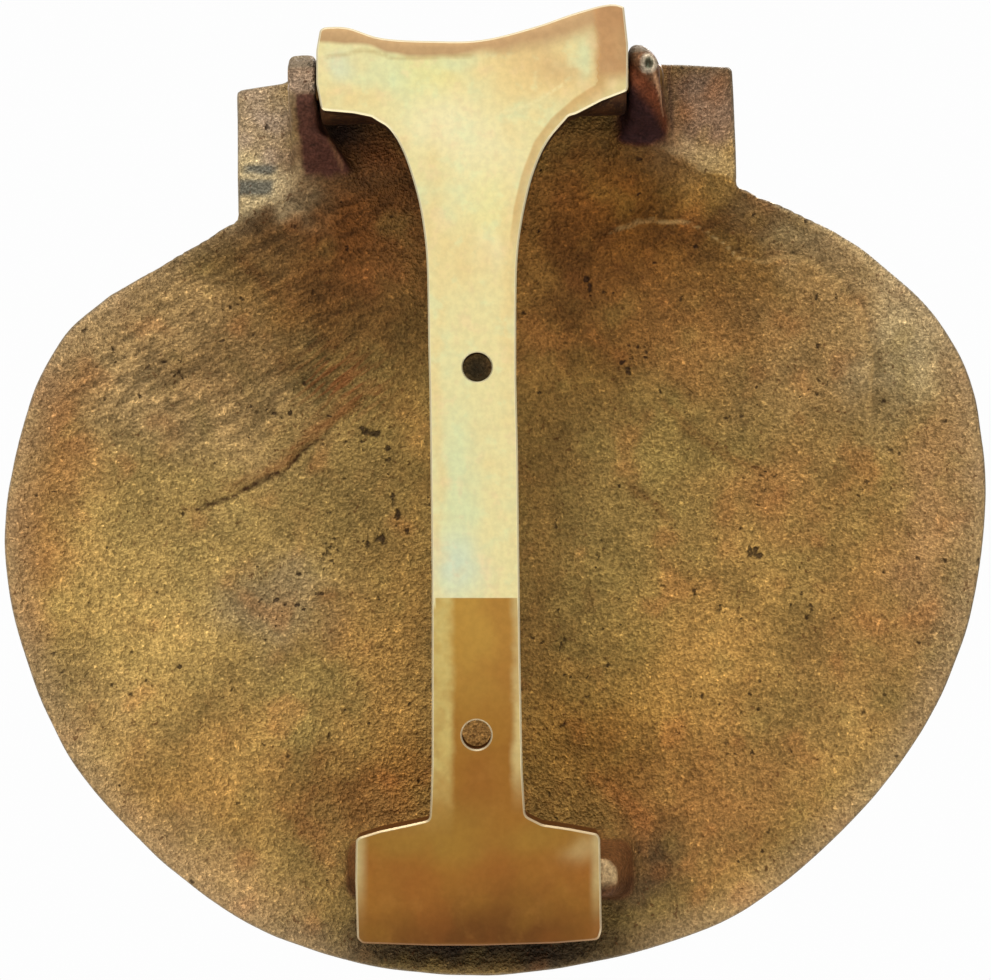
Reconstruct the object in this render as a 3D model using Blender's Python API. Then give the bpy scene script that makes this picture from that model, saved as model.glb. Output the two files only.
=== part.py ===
"""Door knocker: a cast scallop shell that swings on a pin in front of a cast mounting bracket.

The frame: +Z is up, +Y points at the door and +X to the visitor's right. The origin lies on the
bracket's door face, midway between its two fixing holes. Sizes below are in millimetres, and MM
turns them into metres where a mesh is made. An outline is a list of (x, z) points.
"""

import math

import bmesh
import bpy
import numpy as np
from mathutils import Matrix, Vector

MM = 0.001
CIRCLE_SIDES = 28

# Hinge: the pin runs across the bracket's head and through the shell's two lugs. The casting holds
# it a little out of level, lower at +X.
PIN_RADIUS = 2.5
PIN_TILT = math.radians(2.0)
PIN_CENTRE = Vector((0.0, -7.0, 82.5))
PIN_ENDS = (-33.0, 33.6)
PIN_DOME = 0.5
BORE_RADIUS = PIN_RADIUS + 0.3

# Bracket: one plate with a barrel across its head, a web behind the neck and a thicker foot.
PLATE_THICKNESS = 5.5
EDGE_CHAMFER = 0.5
BARREL_RADIUS = 6.2
BARREL_ENDS = (-26.1, 27.8)
FIXING_HOLE_RADIUS = 2.55
FIXING_HOLE_SPACING = 64.0
FOOT_THICKNESS = 8.0
FOOT_DRAFT = 0.3
FOOT_CENTRE = (0.0, -58.0)
WEB_HALF_WIDTH = 6.5
HEAD_TOP = [
    (27.4, 90.7), (26.4, 91.2), (22.4, 91.1), (16.6, 89.3), (7.7, 88.8), (-0.8, 89.0), (-9.7, 91.2),
    (-17.6, 93.9), (-23.2, 95.2), (-25.6, 94.8),
]
HEAD_TO_NECK_MINUS_X = [(-26.3, 88.3), (-26.3, 80.2), (-21.7, 78.4), (-17.3, 76.1)]
NECK_MINUS_X = [(-15.9, 75.7), (-12.1, 71.0), (-9.6, 65.1), (-7.9, 57.8), (-7.0, 50.6), (-6.8, 42.0)]
BAR_MINUS_X = [(-6.8, 30.0), (-7.1, 17.0), (-7.5, -17.0), (-7.9, -38.0), (-8.2, -43.0), (-8.4, -46.1)]
FOOT = [
    (-11.4, -47.6), (-16.2, -48.3), (-20.9, -49.2), (-21.4, -50.0), (-21.7, -65.9), (-21.2, -67.7),
    (-13.6, -68.3), (-0.5, -68.7), (8.2, -68.7), (20.0, -68.3), (20.9, -67.4), (21.2, -57.2),
    (21.1, -50.3), (20.5, -49.8), (16.9, -48.7), (10.8, -47.4),
]
BAR_PLUS_X = [(8.3, -46.8), (8.1, -43.3), (7.9, -37.0), (7.9, -4.0), (8.1, 14.0), (8.3, 28.0)]
NECK_PLUS_X = [
    (8.5, 36.0), (8.6, 44.0), (8.8, 50.6), (9.3, 55.8), (10.2, 61.0), (11.7, 66.3), (13.3, 70.4),
    (15.3, 73.5), (17.2, 74.8), (18.6, 75.7),
]
HEAD_TO_NECK_PLUS_X = [(21.5, 76.2), (27.1, 76.7), (28.0, 81.3), (28.0, 87.1)]

# Shell: ribs fan out from the umbo to the rim, with a squared ear on each side of the hinge line.
UMBO = Vector((-1.5, 87.2))
BODY_CENTRE = Vector((-3.0, -2.0))
SHELL_BACK = -14.4
EDGE_THICKNESS = 3.5
DOME_HEIGHT = 15.0
DISH_DEPTH = 12.0
RIM_LAND = 1.8
RIB_COUNT = 17
RIB_SHARE = 0.05
FAN_EDGE_PLUS_X = 80.0
FAN_EDGE_MINUS_X = 70.0
EAR_PLUS_X = [(33.6, 84.7), (43.7, 83.0), (43.6, 59.9)]
EAR_MINUS_X = [(-34.4, 87.9), (-46.2, 87.4), (-47.0, 65.9)]
RIM = [
    (75.6, 37.8), (82.4, 23.2), (86.0, 1.5), (82.0, -20.2), (71.3, -42.0), (48.7, -63.7),
    (25.0, -74.5), (-1.7, -77.5), (-28.3, -73.4), (-51.5, -63.7), (-74.4, -42.0), (-86.8, -20.3),
    (-92.0, 4.0), (-90.4, 26.8), (-83.5, 41.4), (-71.9, 52.6),
]
DISH_TOP = [(32.2, 64.8), (22.0, 67.8), (0.0, 73.5), (-24.0, 74.8), (-33.8, 72.6), (-38.4, 69.8)]
COLUMNS_PER_RIB = 4
FAN_ROWS = 13
EAR_STRIPS = 2
DISH_RINGS = 7

# Lugs and strike boss: cast on the shell's back.
LUG_RADIUS = 6.1
LUG_ROOT = 1.2
LUG_PLUS_X = (28.4, 33.2)
LUG_MINUS_X = (-32.6, -26.7)
GUSSET_DROP_PLUS_X = 15.0
GUSSET_DROP_MINUS_X = 10.5
LUG_CHAMFER = 0.9
FLARE = 3.6
STAKE_RADIUS = 0.9
STAKE_DEPTH = 0.9
STAKE_ALONG = -29.4
BOSS_CENTRE = (-2.2, -58.6)
BOSS_BASE = (53.5, 11.5)
BOSS_LAND = (45.0, 6.5)
BOSS_ROOT = -21.0
STRIKE_GAP = 0.3


def clear_scene():
    for obj in list(bpy.data.objects):
        bpy.data.objects.remove(obj)


def material(name, colour, roughness):
    made = bpy.data.materials.new(name)
    made.use_nodes = True
    shader = made.node_tree.nodes["Principled BSDF"]
    shader.inputs["Base Color"].default_value = (*colour, 1.0)
    shader.inputs["Roughness"].default_value = roughness
    shader.inputs["Metallic"].default_value = 1.0
    return made


def add_object(name, mesh, finish=None, helper=False):
    """Closes a bmesh made in millimetres into an object in metres. A helper only feeds a Boolean."""
    bmesh.ops.recalc_face_normals(mesh, faces=mesh.faces)
    bmesh.ops.scale(mesh, vec=(MM, MM, MM), verts=mesh.verts)
    data = bpy.data.meshes.new(name)
    mesh.to_mesh(data)
    mesh.free()
    data.shade_smooth()
    data.set_sharp_from_angle(angle=math.radians(30))
    obj = bpy.data.objects.new(name, data)
    bpy.context.scene.collection.objects.link(obj)
    if finish:
        data.materials.append(finish)
    if helper:
        obj.hide_render = True
        obj.display_type = "WIRE"
    return obj


def boolean(target, other, operation):
    modifier = target.modifiers.new(operation.lower() + "_" + other.name, "BOOLEAN")
    modifier.operation = operation
    modifier.object = other
    modifier.solver = "EXACT"


def bevelled(obj, width, segments=1):
    modifier = obj.modifiers.new("bevel", "BEVEL")
    modifier.width = width * MM
    modifier.segments = segments
    modifier.limit_method = "ANGLE"
    modifier.angle_limit = math.radians(40)
    return obj


def smooth_path(points, steps):
    """A Catmull-Rom curve through the points, with both ends kept."""
    path = [Vector(p) for p in points]
    ends = [2 * path[0] - path[1], *path, 2 * path[-1] - path[-2]]
    found = []
    for a, b, c, d in zip(ends, ends[1:], ends[2:], ends[3:]):
        for step in range(steps):
            t = step / steps
            found.append(
                0.5 * (2 * b + (c - a) * t + (2 * a - 5 * b + 4 * c - d) * t**2
                       + (3 * b - a - 3 * c + d) * t**3)
            )
    return [*found, path[-1]]


def prism(name, outline, back, front, helper=False, finish=None):
    """A plate with an (x, z) outline, between two values of y."""
    mesh = bmesh.new()
    face = mesh.faces.new([mesh.verts.new((p[0], back, p[1])) for p in outline])
    moved = bmesh.ops.extrude_face_region(mesh, geom=[face])["geom"]
    far = [v for v in moved if isinstance(v, bmesh.types.BMVert)]
    bmesh.ops.translate(mesh, verts=far, vec=(0, front - back, 0))
    return add_object(name, mesh, finish, helper)


def place_on_hinge(obj):
    """Stands an object made about the origin, with its length along X, on the tilted hinge axis."""
    obj.location = PIN_CENTRE * MM
    obj.rotation_euler = (0, PIN_TILT, 0)
    return obj


def rod(name, radius, ends, helper=False, finish=None, dome=0.0):
    """A round bar along X about the origin. A dome rounds both ends over."""
    mesh = bmesh.new()
    low, high = ends
    stations = [(low, radius - dome), (low + dome, radius), (high - dome, radius), (high, radius - dome)]
    if not dome:
        stations = [(low, radius), (high, radius)]
    loops = [
        [
            mesh.verts.new((x, r * math.cos(a), r * math.sin(a)))
            for a in (math.tau * i / CIRCLE_SIDES for i in range(CIRCLE_SIDES))
        ]
        for x, r in stations
    ]
    for first, second in zip(loops, loops[1:]):
        for i in range(CIRCLE_SIDES):
            j = (i + 1) % CIRCLE_SIDES
            mesh.faces.new((first[i], first[j], second[j], second[i]))
    mesh.faces.new(loops[0])
    mesh.faces.new(loops[-1])
    return add_object(name, mesh, finish, helper)


def fixing_hole(name, z):
    cutter = rod(name, FIXING_HOLE_RADIUS, (-2 * PLATE_THICKNESS, 2 * PLATE_THICKNESS), helper=True)
    cutter.location = (0, 0, z * MM)
    cutter.rotation_euler = (0, 0, math.radians(90))
    return cutter


def neck_web():
    """The wedge that stiffens the neck between the bar and the barrel."""
    low, high = -WEB_HALF_WIDTH, WEB_HALF_WIDTH + 1.0
    side = [(-4.0, 50.0), (-PLATE_THICKNESS, 56.0), (-11.4, 75.0), (-11.4, 80.0), (-4.0, 80.0)]
    mesh = bmesh.new()
    face = mesh.faces.new([mesh.verts.new((low, y, z)) for y, z in side])
    moved = bmesh.ops.extrude_face_region(mesh, geom=[face])["geom"]
    far = [v for v in moved if isinstance(v, bmesh.types.BMVert)]
    bmesh.ops.translate(mesh, verts=far, vec=(high - low, 0, 0))
    return add_object("neck_web", mesh, helper=True)


def inset_towards(points, centre, amount):
    centre = Vector(centre)
    return [Vector(p) + (centre - Vector(p)).normalized() * amount for p in points]


def bracket(finish):
    outline = [
        *smooth_path(HEAD_TOP, 3), *HEAD_TO_NECK_MINUS_X, *smooth_path(NECK_MINUS_X, 3), *BAR_MINUS_X,
        *FOOT, *BAR_PLUS_X, *smooth_path(NECK_PLUS_X, 3), *HEAD_TO_NECK_PLUS_X,
    ]
    made = prism("mounting_bracket", outline, 0.0, -PLATE_THICKNESS, finish=finish)
    bevelled(made, EDGE_CHAMFER)
    barrel = place_on_hinge(rod("barrel", BARREL_RADIUS, BARREL_ENDS, helper=True))
    foot_outline = inset_towards(FOOT, FOOT_CENTRE, FOOT_DRAFT)
    foot = prism("foot", foot_outline, -0.5 * PLATE_THICKNESS, -FOOT_THICKNESS, helper=True)
    for piece in (barrel, foot, neck_web()):
        boolean(made, piece, "UNION")
    boolean(made, place_on_hinge(rod("barrel_bore", BORE_RADIUS, (-40, 40), helper=True)), "DIFFERENCE")
    for name, z in (("upper_hole", FIXING_HOLE_SPACING / 2), ("lower_hole", -FIXING_HOLE_SPACING / 2)):
        boolean(made, fixing_hole(name, z), "DIFFERENCE")
    return made


def fan_height(along, across, distance):
    """Shell thickness in front of its back plane. along runs 0 to 1 from umbo to rim, across -1 to 1."""
    rise = (1 - (1 - along) ** 6) * (1 - along**4) / 0.93
    crown = max(0.0, 1 - abs(across) ** 2.4) ** 0.55
    pitch = distance * fan_angles()[2] / RIB_COUNT
    wave = -math.cos(math.pi * RIB_COUNT * (across + 1))
    fade = (1 - 0.65 * max(0.0, (along - 0.9) / 0.1)) * min(1.0, crown * 1.5)
    return EDGE_THICKNESS + DOME_HEIGHT * rise * crown + RIB_SHARE * pitch * wave * fade


def direction_angle(point, centre):
    """Angle about the centre from straight down, growing towards +X."""
    return math.atan2(point[0] - centre[0], centre[1] - point[1])


def fan_angles():
    """The fan's edges at +X and -X, as angles from straight down, and the angle between them."""
    plus = direction_angle(EAR_PLUS_X[-1], UMBO)
    minus = direction_angle(EAR_MINUS_X[-1], UMBO)
    return plus, minus, plus - minus


def from_umbo(angle, distance):
    return UMBO + distance * Vector((math.sin(angle), -math.cos(angle)))


def rim_path():
    plus, minus, _ = fan_angles()
    return smooth_path([from_umbo(plus, FAN_EDGE_PLUS_X), *RIM, from_umbo(minus, FAN_EDGE_MINUS_X)], 8)


def polar(points, centre):
    """(angles, radii) of the points about the centre, in order of angle."""
    pairs = sorted((direction_angle(p, centre), (Vector(p) - centre).length) for p in points)
    return [a for a, _ in pairs], [r for _, r in pairs]


def along_edge(points, count):
    """count points after the first one along a bent edge, with every corner kept."""
    path = [Vector(p) for p in points]
    lengths = [(b - a).length for a, b in zip(path, path[1:])]
    shares = [max(1, round(count * length / sum(lengths))) for length in lengths]
    shares[lengths.index(max(lengths))] += count - sum(shares)
    found = []
    for a, b, share in zip(path, path[1:], shares):
        found += [a.lerp(b, (i + 1) / share) for i in range(share)]
    return found


def shell_body(finish):
    """The fan and ears in front, the dished back behind, and the wall round the edge."""
    plus, minus, whole = fan_angles()
    rim_angles, rim_radii = polar(rim_path(), UMBO)
    columns = RIB_COUNT * COLUMNS_PER_RIB
    mesh = bmesh.new()

    def front_vertex(point, height):
        return mesh.verts.new((point[0], SHELL_BACK - height, point[1]))

    apex = front_vertex(UMBO, EDGE_THICKNESS)
    fan, ear_rows = [], {}
    for i in range(columns + 1):
        angle = plus - whole * i / columns
        reach = float(np.interp(angle, rim_angles, rim_radii))
        across = 2 * i / columns - 1
        shares = [(k / FAN_ROWS) ** 1.15 for k in range(1, FAN_ROWS + 1)]
        if i in (0, columns):
            reach = FAN_EDGE_PLUS_X if i == 0 else FAN_EDGE_MINUS_X
            ear_base = Vector((EAR_PLUS_X if i == 0 else EAR_MINUS_X)[-1])
            base_share = (ear_base - UMBO).length / reach
            ear_rows[i] = min(range(FAN_ROWS), key=lambda k: abs(shares[k] - base_share)) + 1
            shares[ear_rows[i] - 1] = base_share
        fan.append([
            front_vertex(from_umbo(angle, share * reach), fan_height(share, across, share * reach))
            for share in shares
        ])
    for left, right in zip(fan, fan[1:]):
        mesh.faces.new((apex, left[0], right[0]))
        for k in range(FAN_ROWS - 1):
            mesh.faces.new((left[k], left[k + 1], right[k + 1], right[k]))

    edges = {}
    for i, ear in ((0, EAR_PLUS_X), (columns, EAR_MINUS_X)):
        rows = ear_rows[i]
        outer = [front_vertex(p, EDGE_THICKNESS) for p in along_edge([UMBO, *ear], rows)[:-1]]
        edges[i] = outer
        strips = [fan[i][: rows - 1]]
        for strip in range(1, EAR_STRIPS):
            share = strip / EAR_STRIPS
            strips.append([mesh.verts.new(a.co.lerp(b.co, share)) for a, b in zip(fan[i], outer)])
        strips.append(outer)
        for inner, further in zip(strips, strips[1:]):
            mesh.faces.new((apex, inner[0], further[0]))
            for k in range(rows - 2):
                mesh.faces.new((inner[k], inner[k + 1], further[k + 1], further[k]))
            mesh.faces.new((inner[-1], fan[i][rows - 1], further[-1]))

    front_edge = [
        apex, *edges[0], *fan[0][ear_rows[0] - 1:], *[column[-1] for column in fan[1:-1]],
        *reversed(fan[columns][ear_rows[columns] - 1:]), *reversed(edges[columns]),
    ]
    add_back(mesh, front_edge)
    return add_object("scallop_shell", mesh, finish)


def dish_outline():
    """The edge of the hollow in the shell's back: the rim less its land, closed over the top."""
    rim = [p + (BODY_CENTRE - p).normalized() * RIM_LAND for p in rim_path()]
    return polar([*rim, *DISH_TOP], BODY_CENTRE)


def add_back(mesh, front_edge):
    """Walls the edge and closes the back with rings that shrink towards the dish's centre."""
    angles, radii = dish_outline()
    rings = [[mesh.verts.new((v.co.x, SHELL_BACK, v.co.z)) for v in front_edge]]
    for ring in range(DISH_RINGS, 0, -1):
        share = ring / DISH_RINGS
        depth = DISH_DEPTH * (1 - share**2.5)
        made = []
        for v in rings[0]:
            angle = direction_angle((v.co.x, v.co.z), BODY_CENTRE)
            point = BODY_CENTRE + share * float(np.interp(angle, angles, radii, period=math.tau)) * Vector(
                (math.sin(angle), -math.cos(angle)))
            made.append(mesh.verts.new((point[0], SHELL_BACK - depth, point[1])))
        rings.append(made)
    middle = mesh.verts.new((BODY_CENTRE[0], SHELL_BACK - DISH_DEPTH, BODY_CENTRE[1]))
    count = len(front_edge)
    for outer, inner in zip([front_edge, *rings], rings):
        for i in range(count):
            j = (i + 1) % count
            mesh.faces.new((outer[i], outer[j], inner[j], inner[i]))
    for i in range(count):
        mesh.faces.new((rings[-1][i], rings[-1][(i + 1) % count], middle))


def lug(name, ends, gusset_drop):
    """A cheek round the pin that runs into the shell's back, with a gusset below it."""
    root = SHELL_BACK - PIN_CENTRE.y - LUG_ROOT
    arc = [math.radians(a) for a in range(90, -41, -13)]
    side = [(LUG_RADIUS * math.cos(a), LUG_RADIUS * math.sin(a)) for a in arc]
    side += [(root + LUG_ROOT, -gusset_drop), (root, -gusset_drop), (root, LUG_RADIUS - 1.0),
             (root + LUG_ROOT, LUG_RADIUS - 0.6)]
    mesh = bmesh.new()
    face = mesh.faces.new([mesh.verts.new((ends[0], y, z)) for y, z in side])
    moved = bmesh.ops.extrude_face_region(mesh, geom=[face])["geom"]
    far = [v for v in moved if isinstance(v, bmesh.types.BMVert)]
    bmesh.ops.translate(mesh, verts=far, vec=(ends[1] - ends[0], 0, 0))
    return place_on_hinge(bevelled(add_object(name, mesh, helper=True), LUG_CHAMFER))


def gusset_flare():
    """The foot of the +X gusset, which spreads towards the middle below the head."""
    root = SHELL_BACK - PIN_CENTRE.y - LUG_ROOT
    inner, outer = LUG_PLUS_X
    top, drop = -7.0, -GUSSET_DROP_PLUS_X
    corners = [
        (inner + 0.3, -1.2, top), (outer - 0.6, -1.2, top), (inner - 0.4 * FLARE, root, top),
        (outer, root, top), (inner - FLARE, root, drop), (outer, root, drop),
        (inner - FLARE, root + LUG_ROOT, drop), (outer, root + LUG_ROOT, drop),
    ]
    mesh = bmesh.new()
    for corner in corners:
        mesh.verts.new(corner)
    bmesh.ops.convex_hull(mesh, input=mesh.verts)
    return place_on_hinge(add_object("gusset_flare", mesh, helper=True))


def strike_boss():
    """The block on the shell's back that meets the bracket's foot."""
    land = -FOOT_THICKNESS - STRIKE_GAP
    mesh = bmesh.new()
    for (width, height), y in ((BOSS_BASE, BOSS_ROOT), (BOSS_BASE, -19.0), (BOSS_LAND, land)):
        for x, z in ((-1, -1), (1, -1), (1, 1), (-1, 1)):
            mesh.verts.new((BOSS_CENTRE[0] + x * width / 2, y, BOSS_CENTRE[1] + z * height / 2))
    bmesh.ops.convex_hull(mesh, input=mesh.verts)
    return add_object("strike_boss", mesh, helper=True)


def stake_mark():
    """The punch mark in the back of the -X lug that locks the pin."""
    mesh = bmesh.new()
    bmesh.ops.create_cone(mesh, cap_ends=True, segments=12, radius1=0.05, radius2=STAKE_RADIUS * 1.6,
                          depth=STAKE_DEPTH * 1.6)
    turn = Matrix.Rotation(math.radians(-90), 4, "X")
    bmesh.ops.transform(mesh, matrix=turn, verts=mesh.verts)
    bmesh.ops.translate(mesh, verts=mesh.verts, vec=(STAKE_ALONG, LUG_RADIUS - 0.1, 1.4))
    return place_on_hinge(add_object("stake_mark", mesh, helper=True))


def shell(finish):
    made = shell_body(finish)
    pieces = (
        lug("lug_plus_x", LUG_PLUS_X, GUSSET_DROP_PLUS_X), lug("lug_minus_x", LUG_MINUS_X, GUSSET_DROP_MINUS_X),
        gusset_flare(), strike_boss(),
    )
    for piece in pieces:
        boolean(made, piece, "UNION")
    boolean(made, place_on_hinge(rod("lug_bore", BORE_RADIUS, (-40, 40), helper=True)), "DIFFERENCE")
    boolean(made, stake_mark(), "DIFFERENCE")
    return made


def hinge_pin(finish):
    return place_on_hinge(rod("hinge_pin", PIN_RADIUS, PIN_ENDS, finish=finish, dome=PIN_DOME))


def main():
    clear_scene()
    cast_brass = material("cast_brass", (0.33, 0.22, 0.09), 0.55)
    ground_brass = material("ground_brass", (0.62, 0.5, 0.25), 0.3)
    pin_brass = material("pin_brass", (0.5, 0.38, 0.18), 0.35)
    shell(cast_brass)
    bracket(ground_brass)
    hinge_pin(pin_brass)


main()
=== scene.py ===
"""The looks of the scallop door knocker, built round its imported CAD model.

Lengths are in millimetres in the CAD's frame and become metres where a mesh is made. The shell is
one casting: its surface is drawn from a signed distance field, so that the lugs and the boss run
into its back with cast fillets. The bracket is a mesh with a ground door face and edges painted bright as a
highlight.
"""

import itertools
import math

import bmesh
import bpy
import numpy as np
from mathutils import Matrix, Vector
from mathutils.geometry import delaunay_2d_cdt


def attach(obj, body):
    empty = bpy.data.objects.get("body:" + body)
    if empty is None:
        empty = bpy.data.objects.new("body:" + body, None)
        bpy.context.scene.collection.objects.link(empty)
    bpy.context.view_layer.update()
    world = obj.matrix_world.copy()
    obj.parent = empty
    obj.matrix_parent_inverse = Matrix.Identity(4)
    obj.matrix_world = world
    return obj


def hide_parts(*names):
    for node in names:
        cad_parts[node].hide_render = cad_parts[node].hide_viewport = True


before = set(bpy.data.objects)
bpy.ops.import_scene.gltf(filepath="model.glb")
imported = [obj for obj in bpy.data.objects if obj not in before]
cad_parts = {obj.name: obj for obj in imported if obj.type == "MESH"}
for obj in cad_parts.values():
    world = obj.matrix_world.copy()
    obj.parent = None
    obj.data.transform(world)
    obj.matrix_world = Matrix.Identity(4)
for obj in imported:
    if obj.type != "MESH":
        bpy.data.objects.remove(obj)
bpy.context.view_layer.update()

MM = 0.001

# Sizes shared with the CAD source.
PIN_RADIUS = 2.5
PIN_TILT = math.radians(2.0)
PIN_CENTRE = np.array((0.0, -7.0, 82.5))
PIN_ENDS = (-33.0, 33.6)
BORE_RADIUS = 2.8
PLATE_THICKNESS = 5.5
BARREL_RADIUS = 6.2
BARREL_ENDS = (-26.1, 27.8)
HOLE_RADIUS = 2.55
HOLE_Z = 32.0
FOOT_THICKNESS = 8.0
UMBO = np.array((-1.5, 87.2))
BODY_CENTRE = np.array((-3.0, -2.0))
SHELL_BACK = -14.4
EDGE_THICKNESS = 3.5
DOME_HEIGHT = 15.0
DISH_DEPTH = 12.0
RIM_LAND = 1.8
RIB_COUNT = 17
FAN_EDGES = (80.0, 70.0)
EAR_PLUS_X = [(33.6, 84.7), (43.7, 83.0), (43.6, 59.9)]
EAR_MINUS_X = [(-34.4, 87.9), (-46.2, 87.4), (-47.0, 65.9)]
RIM = [
    (75.6, 37.8), (82.4, 23.2), (86.0, 1.5), (82.0, -20.2), (71.3, -42.0), (48.7, -63.7),
    (25.0, -74.5), (-1.7, -77.5), (-28.3, -73.4), (-51.5, -63.7), (-74.4, -42.0), (-86.8, -20.3),
    (-92.0, 4.0), (-90.4, 26.8), (-83.5, 41.4), (-71.9, 52.6),
]
DISH_TOP = [(32.2, 64.8), (22.0, 67.8), (0.0, 73.5), (-24.0, 74.8), (-33.8, 72.6), (-38.4, 69.8)]
LUG_RADIUS = 6.1
LUG_PLUS_X = (28.4, 33.2)
LUG_MINUS_X = (-32.6, -26.7)
GUSSET_DROPS = (15.0, 10.5)
# Each lug's ends along the pin, its gusset's drop and flare, its back and the rounding of its edges.
LUG_SHAPES = [(LUG_PLUS_X, GUSSET_DROPS[0], 4.9, 5.25, 1.3), (LUG_MINUS_X, GUSSET_DROPS[1], 1.4, 5.7, 2.4)]
BOSS_CENTRE = (-2.2, -58.6)
BOSS_BASE = (53.5, 11.5)
BOSS_LAND = (45.0, 6.5)
BOSS_BASE_Y = -20.5
STRIKE_GAP = 0.3

HOLES = [(0.0, HOLE_Z), (0.1, -HOLE_Z)]
# The punch mark on the back of the -X lug, along the pin and across it.
MARK = (-30.1, 1.7)
# Growth lines on the front: how far along the ribs, and how deep.
GROWTH_LINES = [(0.34, 0.14), (0.5, 0.18), (0.63, 0.22), (0.745, 0.3), (0.84, 0.26), (0.915, 0.3)]

# The grid on which the shell's outline and faces are kept.
FIELD_STEP = 0.4
FIELD_LOW, FIELD_HIGH = np.array((-96.0, -82.0)), np.array((90.0, 94.0))
# The shell's mesh: the steps, the ends of each axis, and the stretches where it is finer, at the lugs
# and the boss.
COARSE, FINE = 0.94, 0.5
MESH_AXES = [
    (-94.3, 88.5, [(-38.0, -24.0), (22.0, 36.0)]), (-35.4, 0.6, [(-15.5, 0.6)]),
    (-80.3, 91.8, [(-66.0, -51.0), (64.0, 91.6)]),
]


# ---------------------------------------------------------------- number fields


def smax(a, b, k):
    """The larger of two values, with a blend k wide where they are close."""
    h = np.maximum(k - np.abs(a - b), 0.0) / k
    return np.maximum(a, b) + h * h * k * 0.25


def smin(a, b, k):
    return -smax(-a, -b, k)


def step(low, high, x):
    """Rises smoothly from 0 at low to 1 at high. Low may be the larger."""
    t = np.clip((x - low) / (high - low), 0.0, 1.0)
    return t * t * (3 - 2 * t)


def lattice(i, j, k, seed):
    n = (i * 374761393 + j * 668265263 + k * 1440670441 + seed * 974634777) & 0xFFFFFFFF
    n = ((n ^ (n >> 13)) * 1274126177) & 0xFFFFFFFF
    return ((n ^ (n >> 16)) & 0xFFFF) / 32767.5 - 1.0


def noise(x, y, z, cell, seed):
    """Smooth value noise from -1 to 1."""
    parts = [np.asarray(c, float) / cell for c in (x, y, z)]
    whole = [np.floor(c).astype(np.int64) for c in parts]
    share = [c - w for c, w in zip(parts, whole)]
    share = [s * s * (3 - 2 * s) for s in share]
    total = 0.0
    for corner in itertools.product((0, 1), repeat=3):
        weight = math.prod(s if up else 1 - s for s, up in zip(share, corner))
        total = total + weight * lattice(*(w + up for w, up in zip(whole, corner)), seed)
    return total


def flat_noise(x, z, cell, seed):
    """Noise that doesn't change along Y, with its cells turned so that they don't line up with X and Z."""
    return noise(0.8 * x + 0.6 * z, 0.37 + 0 * x, 0.8 * z - 0.6 * x, cell, seed)


def rough(x, z, *parts):
    """A sum of flat noises, each given as (amount, cell, seed)."""
    return sum(amount * flat_noise(x, z, cell, seed) for amount, cell, seed in parts)


def bell(value):
    """1 at zero, falling to nothing on both sides."""
    return np.exp(-(value**2))


def spot(x, z, at_x, at_z, size_x, size_z):
    """1 at a place, falling to nothing round it."""
    return np.exp(-(((x - at_x) / size_x) ** 2 + ((z - at_z) / size_z) ** 2))


def arrays(points):
    return [np.array(p, float) for p in points]


def smooth_path(points, steps):
    """A Catmull-Rom curve through the points, with both ends kept."""
    path = arrays(points)
    ends = [2 * path[0] - path[1], *path, 2 * path[-1] - path[-2]]
    found = []
    for a, b, c, d in zip(ends, ends[1:], ends[2:], ends[3:]):
        for t in np.arange(steps) / steps:
            found.append(
                0.5 * (2 * b + (c - a) * t + (2 * a - 5 * b + 4 * c - d) * t**2
                       + (3 * b - a - 3 * c + d) * t**3)
            )
    return [*found, path[-1]]


def angle_from_down(x, z, centre):
    return np.arctan2(x - centre[0], centre[1] - z)


def line_distance(x, z, points, closed=False):
    """Distance to a polyline, and the share of the way along it of the nearest point."""
    path = arrays(points)
    pairs = list(zip(path, path[1:] + path[:1] if closed else path[1:]))
    best = np.full(np.shape(x), 1e9)
    along = np.zeros(np.shape(x))
    for i, (a, b) in enumerate(pairs):
        d = b - a
        t = np.clip(((x - a[0]) * d[0] + (z - a[1]) * d[1]) / max(d @ d, 1e-12), 0.0, 1.0)
        gap = np.hypot(x - a[0] - t * d[0], z - a[1] - t * d[1])
        along = np.where(gap < best, (i + t) / len(pairs), along)
        best = np.minimum(best, gap)
    return best, along


def faded(along, first, last):
    """1 along a line, falling to nothing at its two ends."""
    return step(0.0, first, along) * step(1.0, last, along)


def inside(x, z, points):
    odd = np.zeros(np.shape(x), bool)
    for a, b in zip(points, [*points[1:], points[0]]):
        if a[1] != b[1]:
            cut = (a[1] > z) != (b[1] > z)
            odd ^= cut & (x < (b[0] - a[0]) * (z - a[1]) / (b[1] - a[1]) + a[0])
    return odd


def signed_distance(x, z, points):
    gap, _ = line_distance(x, z, points, closed=True)
    return np.where(inside(x, z, points), -gap, gap)


def height_over(x, z, points):
    """Height above a line that runs from +X to -X."""
    xs, zs = np.array(points[::-1]).T
    return z - np.interp(x, xs, zs)


# ---------------------------------------------------------------- the shell's two faces


def fan_angles():
    plus = float(angle_from_down(*EAR_PLUS_X[-1], UMBO))
    minus = float(angle_from_down(*EAR_MINUS_X[-1], UMBO))
    return plus, minus


def from_umbo(angle, distance):
    return UMBO + distance * np.array((math.sin(angle), -math.cos(angle)))


def rim_path(steps=8):
    plus, minus = fan_angles()
    return smooth_path([from_umbo(plus, FAN_EDGES[0]), *RIM, from_umbo(minus, FAN_EDGES[1])], steps)


def shell_outline():
    return [*EAR_PLUS_X, *rim_path(10), *reversed(EAR_MINUS_X), tuple(UMBO)]


def polar(points, centre):
    pairs = sorted((float(angle_from_down(p[0], p[1], centre)), math.dist(p, centre)) for p in points)
    return [a for a, _ in pairs], [r for _, r in pairs]


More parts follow.
